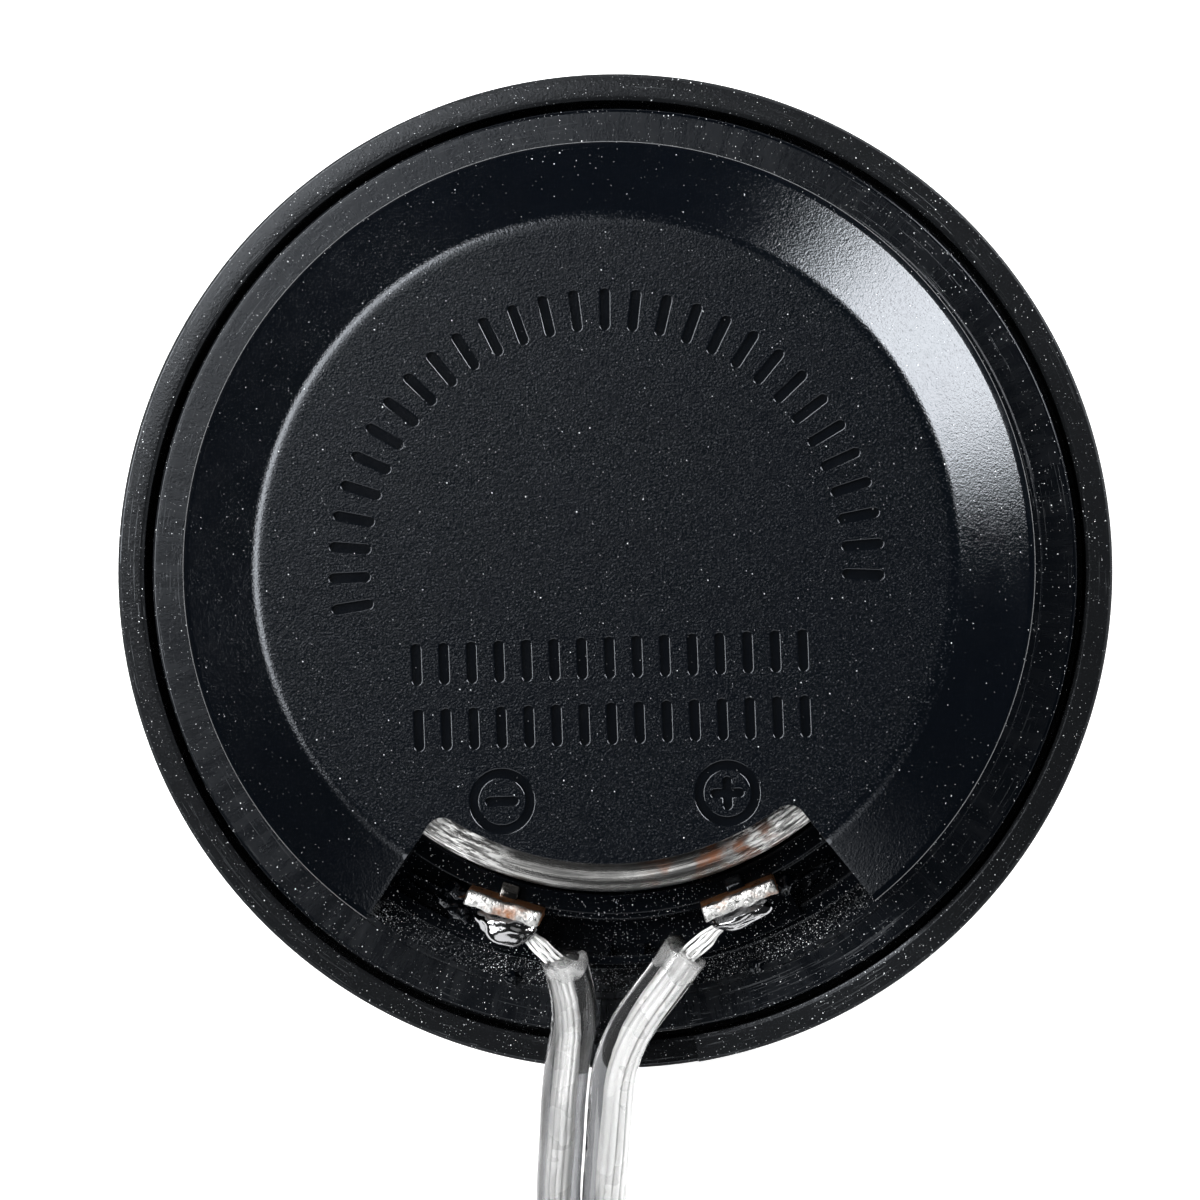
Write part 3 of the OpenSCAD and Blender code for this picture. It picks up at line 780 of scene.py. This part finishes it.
def make_cords():
    made = {}
    # the seventh value is how much painted shade the insulation's sides get
    for side, sign, route, z_first, offset, thick, painted_side_shade, torn in (
        ("negative", -1, NEGATIVE_ROUTE, 1.5, (0.3, 0.02), 0.86, 0.9, 0.35),
        ("positive", 1, POSITIVE_ROUTE, 3.7, (-0.12, -0.24), 1.08, 0.0, 0.85),
    ):
        tube, core, path = make_lead(side + "_lead", route, z_first, offset, thick, painted_side_shade)
        strands = fray(side + "_fray", (sign * 4.7, -17.15, 10.3), tuple(path[2]), 6, (0.07, 0.11), RNG)
        finish_piece(tube, "vinyl", "clear_insulation", side + "_lead", "lead_coil")
        sleeve = torn_end(side + "_torn_end", path, torn, z_first)
        finish_piece(sleeve, "cloudy", "clear_insulation")
        finish_piece(core, "strand", "tinned_strands")
        finish_piece(strands, "strand", "tinned_strands", side + "_strands")
        made[side] = (tube, [core, strands, sleeve], path)
    return made


CORDS = make_cords()


def make_tie():
    """A band round the coil's section, with its tail twisted on the outside."""
    r_in, r_out, z_low, z_high, t, half, round_r = 11.5, 20.5, 0.4, 13.65, 0.33, 1.3, 1.3
    corners = ((r_in, z_low), (r_out, z_low), (r_out, z_high), (r_in, z_high))
    outline = fillet([(*c, round_r) for c in corners], 6)
    a = math.radians(-35.0)
    radial, along = Vector((math.cos(a), math.sin(a), 0)), Vector((-math.sin(a), math.cos(a), 0))
    origin = Vector((COIL_AT[0], COIL_AT[1], 0))
    n = len(outline)
    mid = Vector(((r_in + r_out) / 2, (z_low + z_high) / 2))
    points = []
    for i, (r, z) in enumerate(outline):
        p = Vector((r, z))
        q0, q1 = Vector(outline[i - 1]), Vector(outline[(i + 1) % n])
        normal = Vector(((q1 - q0).y, -(q1 - q0).x)).normalized()
        if normal.dot(p - mid) < 0:
            normal = -normal
        for w, d in ((-1, 0), (-1, 0.8), (-0.8, 1), (0.8, 1), (1, 0.8), (1, 0)):
            v = p + normal * d * t
            points.append(tuple(origin + radial * v.x + along * w * half + Vector((0, 0, v.y))))
    band = add_mesh("coil_tie_band", points, grid(n, 6, closed=True))
    return finish_piece(band, "tie", "tie_plastic", "coil_tie")


TIE = make_tie()

# ---------------------------------------------------------------- floor, lights


def make_stage():
    half, z = 3.0, -5e-5
    corners = [(x * half, y * half, z) for x, y in ((-1, -1), (1, -1), (1, 1), (-1, 1))]
    mesh = bpy.data.meshes.new("table")
    mesh.from_pydata(corners, [], [(0, 1, 2, 3)])
    floor = bpy.data.objects.new("table", mesh)
    bpy.context.scene.collection.objects.link(floor)
    glow = {"Emission_Color": (1, 1, 1, 1), "Emission_Strength": 0.76}
    pale = Nodes("pale_table").surface(
        Base_Color=(0.93, 0.93, 0.93, 1), Roughness=0.9, Specular_IOR_Level=0.1, **glow
    )
    mesh.materials.append(pale)


def soft_light(name, azimuth, elevation, distance, width, height, radiance):
    """A soft box at an azimuth (from +X) and elevation in degrees, that faces the object."""
    data = bpy.data.lights.new(name, "AREA")
    data.shape = "RECTANGLE"
    data.size, data.size_y = width, height
    data.energy = radiance * math.pi * width * height
    light = bpy.data.objects.new(name, data)
    a, e = math.radians(azimuth), math.radians(elevation)
    place = Vector((math.cos(a) * math.cos(e), math.sin(a) * math.cos(e), math.sin(e))) * distance
    light.location = place
    light.rotation_euler = place.to_track_quat("Z", "Y").to_euler()
    bpy.context.scene.collection.objects.link(light)


def make_lights():
    world = bpy.data.worlds.new("studio")
    world.use_nodes = True
    background = world.node_tree.nodes["Background"]
    background.inputs["Color"].default_value = (0.93, 0.97, 1.0, 1)
    background.inputs["Strength"].default_value = 0.04
    bpy.context.scene.world = world
    soft_light("box_right", 34.5, 26.0, 0.7, 0.43, 0.28, 25.0)
    soft_light("box_left", 155.0, 52.0, 0.8, 0.8, 0.26, 15.0)
    soft_light("box_top", 135.0, 72.0, 0.9, 0.22, 0.18, 5.5)
    soft_light("box_front", -90.0, 45.0, 0.8, 0.9, 0.4, 2.5)
    bpy.context.scene.view_settings.view_transform = "Standard"


make_stage()
make_lights()

# ---------------------------------------------------------------- trim ring


def ring_angles(fine_half, fine_step, coarse_step):
    """Angles round the ring, closer together round the notch, which is at -90 degrees."""
    out, a = [], -fine_half
    while a < 360 - fine_half - 1e-6:
        out.append(a - 90.0)
        a = min(a + fine_step, fine_half) if a < fine_half - 1e-6 else a + coarse_step
    return out


RING_R, CHANNEL_HALF, CHANNEL_Z, RIM_FROM = 24.0, 3.1, 5.0, 23.86


def make_trim_ring():
    half = math.degrees(math.asin(CHANNEL_HALF / 23.35))

    def section(angle):
        edge = abs(from_notch(angle)) - half
        top = CHANNEL_Z + 1.2 * smoothstep(-0.12, 0.12, edge)
        wave = 0.012 * math.sin(math.radians(angle * 3)) + 0.008 * math.sin(math.radians(angle * 7 + 40))
        corners = [
            (17.0, 1.9, 0.08), (17.0, 1.2, 0.15), (19.5, 0.0, 0.6), (RING_R, 0.0, 1.5),
            (RING_R, top - 0.03, 0.17 + wave), (22.9, top, 0.3), (22.71, top - 0.05, 0.05), (22.7, 1.9, 0.08),
        ]
        return fillet(corners, 5)

    ring = spin("trim_ring_mould", section, ring_angles(12.0, 0.1, 1.0), 23.4)
    finish_piece(ring, "ring", "moulded_black", "trim_ring")
    paint_faces(ring, ["rim"], lambda c, r, normal: int(r > RIM_FROM and c.z > 4.0))


make_trim_ring()

# ---------------------------------------------------------------- driver frame

COLLAR_IN, COLLAR_OUT, COLLAR_Z = 15.5, 16.5, 10.0
POCKET_IN, POCKET_OUT, POCKET_Z, POCKET_HALF = 16.75, 18.45, 7.4, 10.8
BLOCK_OUT, BLOCK_Z, BLOCK_HALF = 18.95, 8.6, 27.0
LOCATOR_OUT, LOCATOR_Z = 19.15, 8.0
LEDGE_OUT, LEDGE_Z = 20.6, 6.7
FLANGE_Z = 6.5


def step_up(r, edge, low, high, soft=0.05):
    return low + (high - low) * smoothstep(edge - soft, edge + soft, r)


def frame_top(angle, r):
    """Height of the frame's rear side at an angle from the notch and a radius."""
    a = abs(angle)
    z = step_up(r, COLLAR_IN, 8.2, COLLAR_Z)
    z = step_up(r, COLLAR_OUT, z, 7.4)
    z = step_up(r, POCKET_OUT, z, LOCATOR_Z)
    z = step_up(r, LOCATOR_OUT, z, LEDGE_Z)
    z = step_up(r, LEDGE_OUT, z, FLANGE_Z, 0.03)
    if r > LEDGE_OUT:
        # the annulus leans outwards a little
        z += 0.02 - 0.035 * (r - LEDGE_OUT)
    if r > COLLAR_OUT - 0.1 and a < BLOCK_HALF + 2:
        block = smoothstep(BLOCK_HALF + 0.25, BLOCK_HALF - 0.25, a)
        top = max(z, BLOCK_Z * smoothstep(BLOCK_OUT + 0.05, BLOCK_OUT - 0.05, r))
        z = z + (top - z) * block
        lip = smoothstep(POCKET_IN + 0.04, POCKET_IN - 0.04, r) * smoothstep(15.2, 14.8, a)
        z = max(z, z + (9.7 - z) * lip)
        # the pocket, a slot with round ends
        arc = math.radians(max(0.0, a - POCKET_HALF)) * 17.6
        away = math.hypot(arc, r - (POCKET_IN + POCKET_OUT) / 2) - (POCKET_OUT - POCKET_IN) / 2
        hole = smoothstep(0.05, -0.05, away)
        z = z + (POCKET_Z - z) * hole * (r > POCKET_IN - 0.06)
        rib = smoothstep(0.16, 0.1, abs(math.radians(a - 2.6)) * 18.2) * smoothstep(18.0, 18.1, r)
        z = max(z, z + (8.35 - z) * rib * (r < POCKET_OUT))
    if 27.5 < a < 36 and 16.6 < r < 18.4:
        # fine moulded lips beyond the block
        z += 0.45 * smoothstep(0.09, 0.03, abs(r - 17.35 - 0.015 * (a - 31)))
        z += 0.3 * smoothstep(0.09, 0.03, abs(r - 17.9 + 0.02 * (a - 31)))
    return z


def make_driver_frame():
    edges = (COLLAR_IN, COLLAR_OUT, POCKET_IN, POCKET_OUT, BLOCK_OUT, LOCATOR_OUT, LEDGE_OUT)
    radii = {round(e + d, 3) for e in edges for d in (-0.08, -0.045, -0.015, 0.015, 0.045, 0.08)}
    r = COLLAR_OUT + 0.15
    while r < POCKET_OUT:
        radii.add(round(r, 3))
        r += 0.07
    radii |= {15.7, 15.9, 16.1, 16.3, 18.6, 18.8, 19.4, 19.7, 20.0, 20.3, 20.9, 21.3, 21.7, 22.0}
    radii = sorted(radii)
    under = [
        (22.3, 1.9), (21.3, 1.9), (21.3, 5.3), (18.9, 5.3), (18.9, 6.35), (15.6, 6.35),
        (15.6, 6.9), (14.2, 6.9), (14.2, 7.4), (15.05, 7.4), (15.05, 8.2),
    ]

    def section(angle):
        a = from_notch(angle)
        out = []
        for r in radii:
            z = frame_top(a, r)
            if abs(a) < 37 and r < LEDGE_OUT:
                z += 0.012 * noise.noise(Vector((a * 0.35, r * 1.1, 0.3)))
            out.append((r, z))
        # the flange's rounded edge, above the shadow groove
        out += [(22.12, 6.465), (22.2, 6.45), (22.26, 6.41), (22.295, 6.34), (22.3, 6.2)]
        return out + under

    body = spin("driver_frame_mould", section, ring_angles(37.5, 0.25, 1.0), 21.0)
    finish_piece(body, "frame", "moulded_black", "driver_frame")

    def slot_of(c, r, normal):
        if c.z > 6.6 and r < 20.35 and abs(notch_angle(c.x, c.y)) < 37.4:
            return 1 if r > LOCATOR_OUT - 0.05 else 2
        return 2 if r > 22.14 else 0

    paint_faces(body, ["ledge", "pocket"], slot_of)


make_driver_frame()

# ---------------------------------------------------------------- back cover

NOTCH_HALF, NOTCH_R, NOTCH_CORNER = 36.6, 14.0, 0.8
MARK_DEPTH, MARK_R, MARK_LENGTH, MARK_WIDTH = 0.25, 12.1, 1.95, 0.44
POLARITY_AT = 26.0
BACK_Z, FOOT_R, BEVEL_FROM, FOOT_FROM = 15.0, 20.2, 16.75, 19.9


def rounded_notch():
    """The notch's outline as a polygon, with its two inner corners rounded."""
    far = 30.0
    inset = math.degrees(math.asin(NOTCH_CORNER / (NOTCH_R + NOTCH_CORNER)))
    out = []
    for side in (-1, 1):
        corner = []
        c = Vector(at_notch(side * (NOTCH_HALF - inset), NOTCH_R + NOTCH_CORNER))
        a = math.radians(side * NOTCH_HALF)
        wall_normal = Vector((side * math.cos(a), side * math.sin(a)))
        b = math.radians(side * (NOTCH_HALF - inset))
        inward = Vector((-math.sin(b), math.cos(b)))
        for k in range(9):
            t = k / 8
            d = (wall_normal * math.cos(t * math.pi / 2) + inward * math.sin(t * math.pi / 2)).normalized()
            corner.append(tuple(c + d * NOTCH_CORNER))
        corner.insert(0, at_notch(side * NOTCH_HALF, far))
        out.append(corner)
    span = NOTCH_HALF - inset
    arc = [at_notch(-span + 2 * span * k / 40, NOTCH_R) for k in range(1, 40)]
    return out[0] + arc + out[1][::-1]


def prism(name, outlines, z_low, z_high):
    """Upright prisms on outlines in mm, joined into one mesh."""
    points, faces = [], []
    for outline in outlines:
        base, n = len(points), len(outline)
        points += [(x, y, z) for z in (z_low, z_high) for x, y in outline]
        faces += end_faces(2, n, base) + grid(2, n, base=base)
    return add_mesh(name, points, faces)


def slot_shape(cx, cy, length, width, turn):
    """A slot with round ends; turn is the direction of its length in degrees."""
    out = []
    d = math.radians(turn)
    for end in (1, -1):
        for k in range(9):
            a = -math.pi / 2 + math.pi * k / 8 + (0 if end > 0 else math.pi)
            x, y = polar(width / 2, a)
            x += end * (length - width) / 2
            out.append((cx + x * math.cos(d) - y * math.sin(d), cy + x * math.sin(d) + y * math.cos(d)))
    return out


def circle_shape(cx, cy, r, steps=48):
    ring = (polar(r, 2 * math.pi * k / steps) for k in range(steps))
    return [(cx + x, cy + y) for x, y in ring]


def cut(target, cutter):
    mod = target.modifiers.new("cut", "BOOLEAN")
    mod.operation = "DIFFERENCE"
    mod.solver = "EXACT"
    mod.object = cutter
    apply_modifiers(target)
    bpy.data.objects.remove(cutter)


def apply_modifiers(obj):
    deps = bpy.context.evaluated_depsgraph_get()
    mesh = bpy.data.meshes.new_from_object(obj.evaluated_get(deps))
    obj.modifiers.clear()
    obj.data = mesh


def soften(obj, width, near, segments):
    """Rounds the sharp edges whose middle point is chosen by near(x, y, z), in mm."""
    mesh = obj.data
    name = "bevel_weight_edge"
    weights = mesh.attributes.get(name) or mesh.attributes.new(name, "FLOAT", "EDGE")
    normals = {}
    for p in mesh.polygons:
        for key in p.edge_keys:
            normals.setdefault(key, []).append(p.normal.copy())
    values = []
    for e in mesh.edges:
        faces = normals.get(tuple(sorted(e.vertices)), [])
        sharp = len(faces) == 2 and faces[0].angle(faces[1], 0.0) > math.radians(35)
        a, b = (mesh.vertices[v].co for v in e.vertices)
        values.append(float(sharp and near(*((a + b) / 2 / MM))))
    weights.data.foreach_set("value", values)
    mod = obj.modifiers.new("soft", "BEVEL")
    mod.limit_method = "WEIGHT"
    mod.width = width * MM
    mod.segments = segments
    mod.use_clamp_overlap = True
    mod.harden_normals = False
    apply_modifiers(obj)


def weigh_normals(obj):
    """Keeps flat faces flat beside rounded edges."""
    for p in obj.data.polygons:
        p.use_smooth = True
    obj.data.set_sharp_from_angle(angle=math.radians(50.0))
    mod = obj.modifiers.new("normals", "WEIGHTED_NORMAL")
    mod.keep_sharp = True
    mod.weight = 100
    apply_modifiers(obj)


def near_notch(x, y, z):
    return abs(notch_angle(x, y)) < 37.5 and math.hypot(x, y) > 13.5 and z > 12.4


def on_flat(x, y):
    return math.hypot(x, y) < 13.75


def mark_shapes():
    """The minus, an arc of slots and two rows of slots."""
    marks = []
    for side in (-1, 1):
        marks.append(slot_shape(*at_notch(side * POLARITY_AT, MARK_R), 1.55, 0.4, 0.0))
    for i in range(30):
        angle = -4.0 + 191.0 * i / 29
        marks.append(slot_shape(*polar(MARK_R, math.radians(angle)), MARK_LENGTH, MARK_WIDTH, angle))
    for y in (-4.3, -7.4):
        marks += [slot_shape((i - 7) * 1.3, y, MARK_LENGTH, MARK_WIDTH, 90.0) for i in range(15)]
    return marks


def make_back_cover():
    outer = fillet(
        [
            (15.0, BACK_Z, 0), (16.5, BACK_Z, 1.2), (19.88, 13.018, 0.3), (FOOT_R, 12.763, 0.12),
            (FOOT_R, 6.7, 0.1), (19.2, 6.7, 0.1), (19.2, 12.3, 0.4), (16.3, 13.9, 0.3), (15.0, 13.9, 0),
        ],
        5,
    )
    section = [(16.0, BACK_Z)] + outer[1:-1] + [(16.0, 13.9)]
    cover = disc_spin("back_cover_mould", section, 256, 18.0)
    cut(cover, prism("cut_notch", [rounded_notch()], 5.0, 16.0))
    soften(cover, 0.32, near_notch, 5)
    low, high = BACK_Z - MARK_DEPTH, 15.5
    cut(cover, prism("cut_marks", mark_shapes(), low, high))
    # each cut is a hair less deep than the one before, so that no two floors coincide
    plus = slot_shape(*at_notch(POLARITY_AT, MARK_R), 1.55, 0.4, 90.0)
    cut(cover, prism("cut_plus", [plus], low + 0.0013, high))
    for side in (-1, 1):
        centre = at_notch(side * POLARITY_AT, MARK_R)
        ring = prism("cut_ring", [circle_shape(*centre, 1.53)], low + 0.0007, high)
        cut(ring, prism("cut_island", [circle_shape(*centre, 1.13)], 14.0, 16.0))
        cut(cover, ring)
    soften(cover, 0.16, lambda x, y, z: on_flat(x, y) and z > 14.99, 4)
    weigh_normals(cover)
    finish_piece(cover, "back", "moulded_black", "back_cover")

    def slot_of(c, r, normal):
        rounded = near_notch(*c) and normal.z < 0.999 and 14.6 < c.z < 14.999
        if rounded or (on_flat(c.x, c.y) and low - 0.05 < c.z < 14.998):
            return 1
        if c.z > 12.6 and normal.z > 0.7 and r > BEVEL_FROM:
            return 2 if r > FOOT_FROM else 3
        return 0

    paint_faces(cover, ["floor_of_marks", "foot_band", "bevel"], slot_of)


make_back_cover()

# ---------------------------------------------------------------- motor

CUP_R, CUP_WALL = 15.35, 1.7


def make_cup():
    corners = [
        (12.9, 13.9, 0), (CUP_R, 13.9, 1.5), (CUP_R, 7.4, 0.2), (CUP_R - CUP_WALL, 7.4, 0.2),
        (CUP_R - CUP_WALL, 12.4, 0.4), (12.9, 12.4, 0),
    ]
    cup = disc_spin("magnet_cup_pressed", fillet(corners, 9), 288, CUP_R)
    finish_piece(cup, "cup", "motor_steel", "magnet_cup")


make_cup()

# ---------------------------------------------------------------- terminals

TAB_ANGLE, TAB_R, TAB_TOP, TAB_FOOT_Z, TAB_LEAN = 19.4, 16.95, 12.0, 6.65, 7.0
TAB_HALF_WIDTH, TAB_HALF_THICK, TAB_STEP = 1.85, 0.36, 0.12
TIN_LINE = 11.72


def lump(p, scale, amount, seed):
    return amount * noise.noise(Vector((p[0] * scale + seed, p[1] * scale, p[2] * scale)))


def make_tab(side, sign):
    """The blade: a leaning strip with a lumpy tinned end, and its foot over the collar."""
    angle, lean = sign * TAB_ANGLE, math.tan(math.radians(TAB_LEAN))
    w, h = TAB_HALF_WIDTH, TAB_HALF_THICK
    outline = fillet([(-w, -h, 0.1), (w, -h, 0.1), (w, h, 0.1), (-w, h, 0.1)], 3)
    dense = []
    for p, q in zip(outline, outline[1:] + outline[:1]):
        steps = max(1, round(math.dist(p, q) / TAB_STEP))
        dense += [(p[0] + (q[0] - p[0]) * k / steps, p[1] + (q[1] - p[1]) * k / steps) for k in range(steps)]
    levels = [(TAB_FOOT_Z + k * TAB_STEP, 1.0) for k in range(44)]
    levels += [(11.85, 0.985), (11.94, 0.93), (TAB_TOP, 0.8), (12.03, 0.5), (12.04, 0.15)]
    points = []
    for z, shrink in levels:
        rough = smoothstep(9.5, TAB_TOP, z)
        for t, d in dense:
            r = TAB_R - (TAB_TOP - z) * lean + d * shrink
            if abs(t) > h:
                t = math.copysign(abs(t) - h * (1 - shrink), t)
            g = lump((t, d, z), 1.7, 0.12, 5 + sign) * rough + lump((t, d, z), 5.0, 0.05, 9 + sign) * rough
            x, y = at_notch(angle, r + g * (1 if d > 0 else -0.6), t + 0.4 * g * (1 if t > 0 else -1))
            points.append((x, y, z + (0.6 * g if z > 11.5 else 0)))
    faces = grid(len(levels), len(dense)) + end_faces(len(levels), len(dense))
    blade = add_mesh(side + "_tab_blade", points, faces, None, 40.0)
    finish_piece(blade, "tab", "tab_brass", side + "_tab")

    def slot_of(c, r, normal):
        outward = normal.dot(Vector((*at_notch(angle, 1.0), 0.0)))
        limit = TIN_LINE + 0.25 * noise.noise(Vector((c.x * 2.2, c.y * 2.2, 1.0)))
        return int(c.z > limit or outward > 0.3)

    paint_faces(blade, ["tin"], slot_of)
    # the foot: a short strap that bends inwards over the collar
    bend = ((16.9, 10.15), (16.6, 10.3), (16.2, 10.33), (15.85, 10.2))
    path = smooth_path([(*at_notch(angle, r), z) for r, z in bend], 0.1)

    def strap(i, k):
        w, h = 0.45, 0.22
        a = 2 * math.pi * (k + 0.5) / 20
        c, s = math.cos(a), math.sin(a)
        return math.copysign(w * abs(c) ** 0.35, c), math.copysign(h * abs(s) ** 0.35, s)

    foot = sweep(side + "_tab_foot", path, strap, 20, 50.0)
    finish_piece(foot, "flux" if sign < 0 else "melted", "tab_brass", side + "_tab")


def blob(name, centre, radii, angle, lumps, seed, fine=0.4, segments=24, rings=16):
    """A lumpy rounded mass: radii are across, outwards and up."""
    points = []
    for i in range(1, rings):
        v = math.pi * i / rings
        for k in range(segments):
            u = 2 * math.pi * k / segments
            d = Vector((math.cos(u) * math.sin(v), math.sin(u) * math.sin(v), math.cos(v)))
            coarse = noise.noise(d * 1.1 + Vector((seed, 0, 0)))
            g = 1 + lumps * (coarse + fine * noise.noise(d * 2.6 + Vector((0, seed, 0))))
            x, y = at_notch(angle, d.y * radii[1] * g, d.x * radii[0] * g)
            points.append((centre[0] + x, centre[1] + y, centre[2] + d.z * radii[2] * g))
    faces = grid(rings - 1, segments) + [face[::-1] for face in end_faces(rings - 1, segments)]
    return add_mesh(name, points, faces, None, 80.0)


def make_terminals():
    for side, sign, r, out in (("negative", -1, 17.78, 0.8), ("positive", 1, 17.62, 0.62)):
        make_tab(side, sign)
        angle = sign * TAB_ANGLE
        place = (*at_notch(angle, r, -sign * 0.25), 10.35)
        bead = blob(side + "_solder_bead", place, (1.5, out, 0.85), angle, 0.3, 3.0 + sign, 0.3, 40, 28)
        finish_piece(bead, "solder", "solder", side + "_solder")
    nib = (0.42, 0.3, 0.45)
    for name, angle, r, z, radii, lumps, seed in (
        ("melted_left_1", -27.5, 17.0, 9.6, (0.55, 0.5, 0.5), 0.7, -10.5),
        ("melted_left_2", -28.3, 17.6, 9.2, (0.45, 0.4, 0.5), 0.7, -10.7),
        ("melted_left_3", -25.6, 18.0, 9.3, (0.5, 0.35, 0.4), 0.7, -7.6),
        ("melted_right_1", 26.6, 17.2, 9.4, (0.4, 0.45, 0.4), 0.7, 43.8),
        ("nib_left", -16.2, 20.15, 6.95, nib, 0.5, 20.15),
        ("nib_right", 17.6, 20.2, 6.95, nib, 0.5, 20.2),
    ):
        melted = blob(name, (*at_notch(angle, r), z), radii, angle, lumps, seed)
        finish_piece(melted, "melted", "moulded_black")


make_terminals()

# ---------------------------------------------------------------- diaphragm, lead-outs, inner pieces


def make_surround():
    """Eight sectors of one rolled cloth ring, between the dome and the chassis."""
    centre, roll, z_mid, half_thick, columns = 14.125, 1.375, 6.5, 0.07, 15
    profile = [(12.6, 6.28)]
    for k in range(1, 16):
        a = math.pi * (1.0 + k / 16)
        profile.append((centre + roll * math.cos(a), z_mid + roll * math.sin(a) * 0.995))
    profile += [(15.5, 6.275), (17.6, 6.275)]
    m, size = len(profile), columns * len(profile)
    for w in range(8):
        points = []
        angles = [math.radians(w * 45.0 - 22.5 + 45.0 * k / (columns - 1)) for k in range(columns)]
        for off in (-half_thick, half_thick):
            for a in angles:
                for i, (r, z) in enumerate(profile):
                    p0, p1 = profile[max(i - 1, 0)], profile[min(i + 1, m - 1)]
                    d = Vector((p1[0] - p0[0], p1[1] - p0[1])).normalized()
                    points.append((*polar(r - d.y * off, a), z + d.x * off))
        faces = grid(columns, m, wrap=False) + grid(columns, m, wrap=False, base=size)
        for j in range(columns - 1):
            for a in (j * m, j * m + m - 1):
                faces.append((a, size + a, size + a + m, a + m))
        piece = add_mesh(f"surround_{w + 1}", points, faces, None, 60.0)
        bend_piece(piece, "dome", "surround")


def make_lead_outs():
    ring = circle_shape(0, 0, 0.08, 8)
    for side, sign in (("negative", -1), ("positive", 1)):
        a = sign * TAB_ANGLE
        route = [
            (*at_notch(a, 12.5), 6.66), (*at_notch(a, 13.1, 0.25), 6.5), (*at_notch(a, 13.9, -0.25), 6.58),
            (*at_notch(a, 14.7, 0.15), 6.66), (*at_notch(a, 15.4), 6.7), (*at_notch(a, 16.0), 6.74),
        ]
        wire = sweep(side + "_lead_out_wire", smooth_path(route, 0.12), lambda i, k: ring[k], 8)
        bend_piece(wire, "copper", side + "_lead_out")


def paint_cad_nodes():
    for node, key in (
        ("grille", "grille"), ("clamp_ring", "inner"), ("dome", "dome"), ("damping_felt", "felt"),
        ("voice_coil_former", "foil"), ("voice_coil_winding", "copper"), ("pole_plate", "plate"),
        ("magnet", "magnet"),
    ):
        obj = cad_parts[node]
        obj.data.materials.clear()
        obj.data.materials.append(MAT[key])


make_surround()
make_lead_outs()
paint_cad_nodes()

# ---------------------------------------------------------------- each cord's pieces, gathered

for side in ("negative", "positive"):
    tube, others, path = CORDS[side]
    others = others + ([TIE] if side == "negative" else [])

bpy.context.view_layer.update()
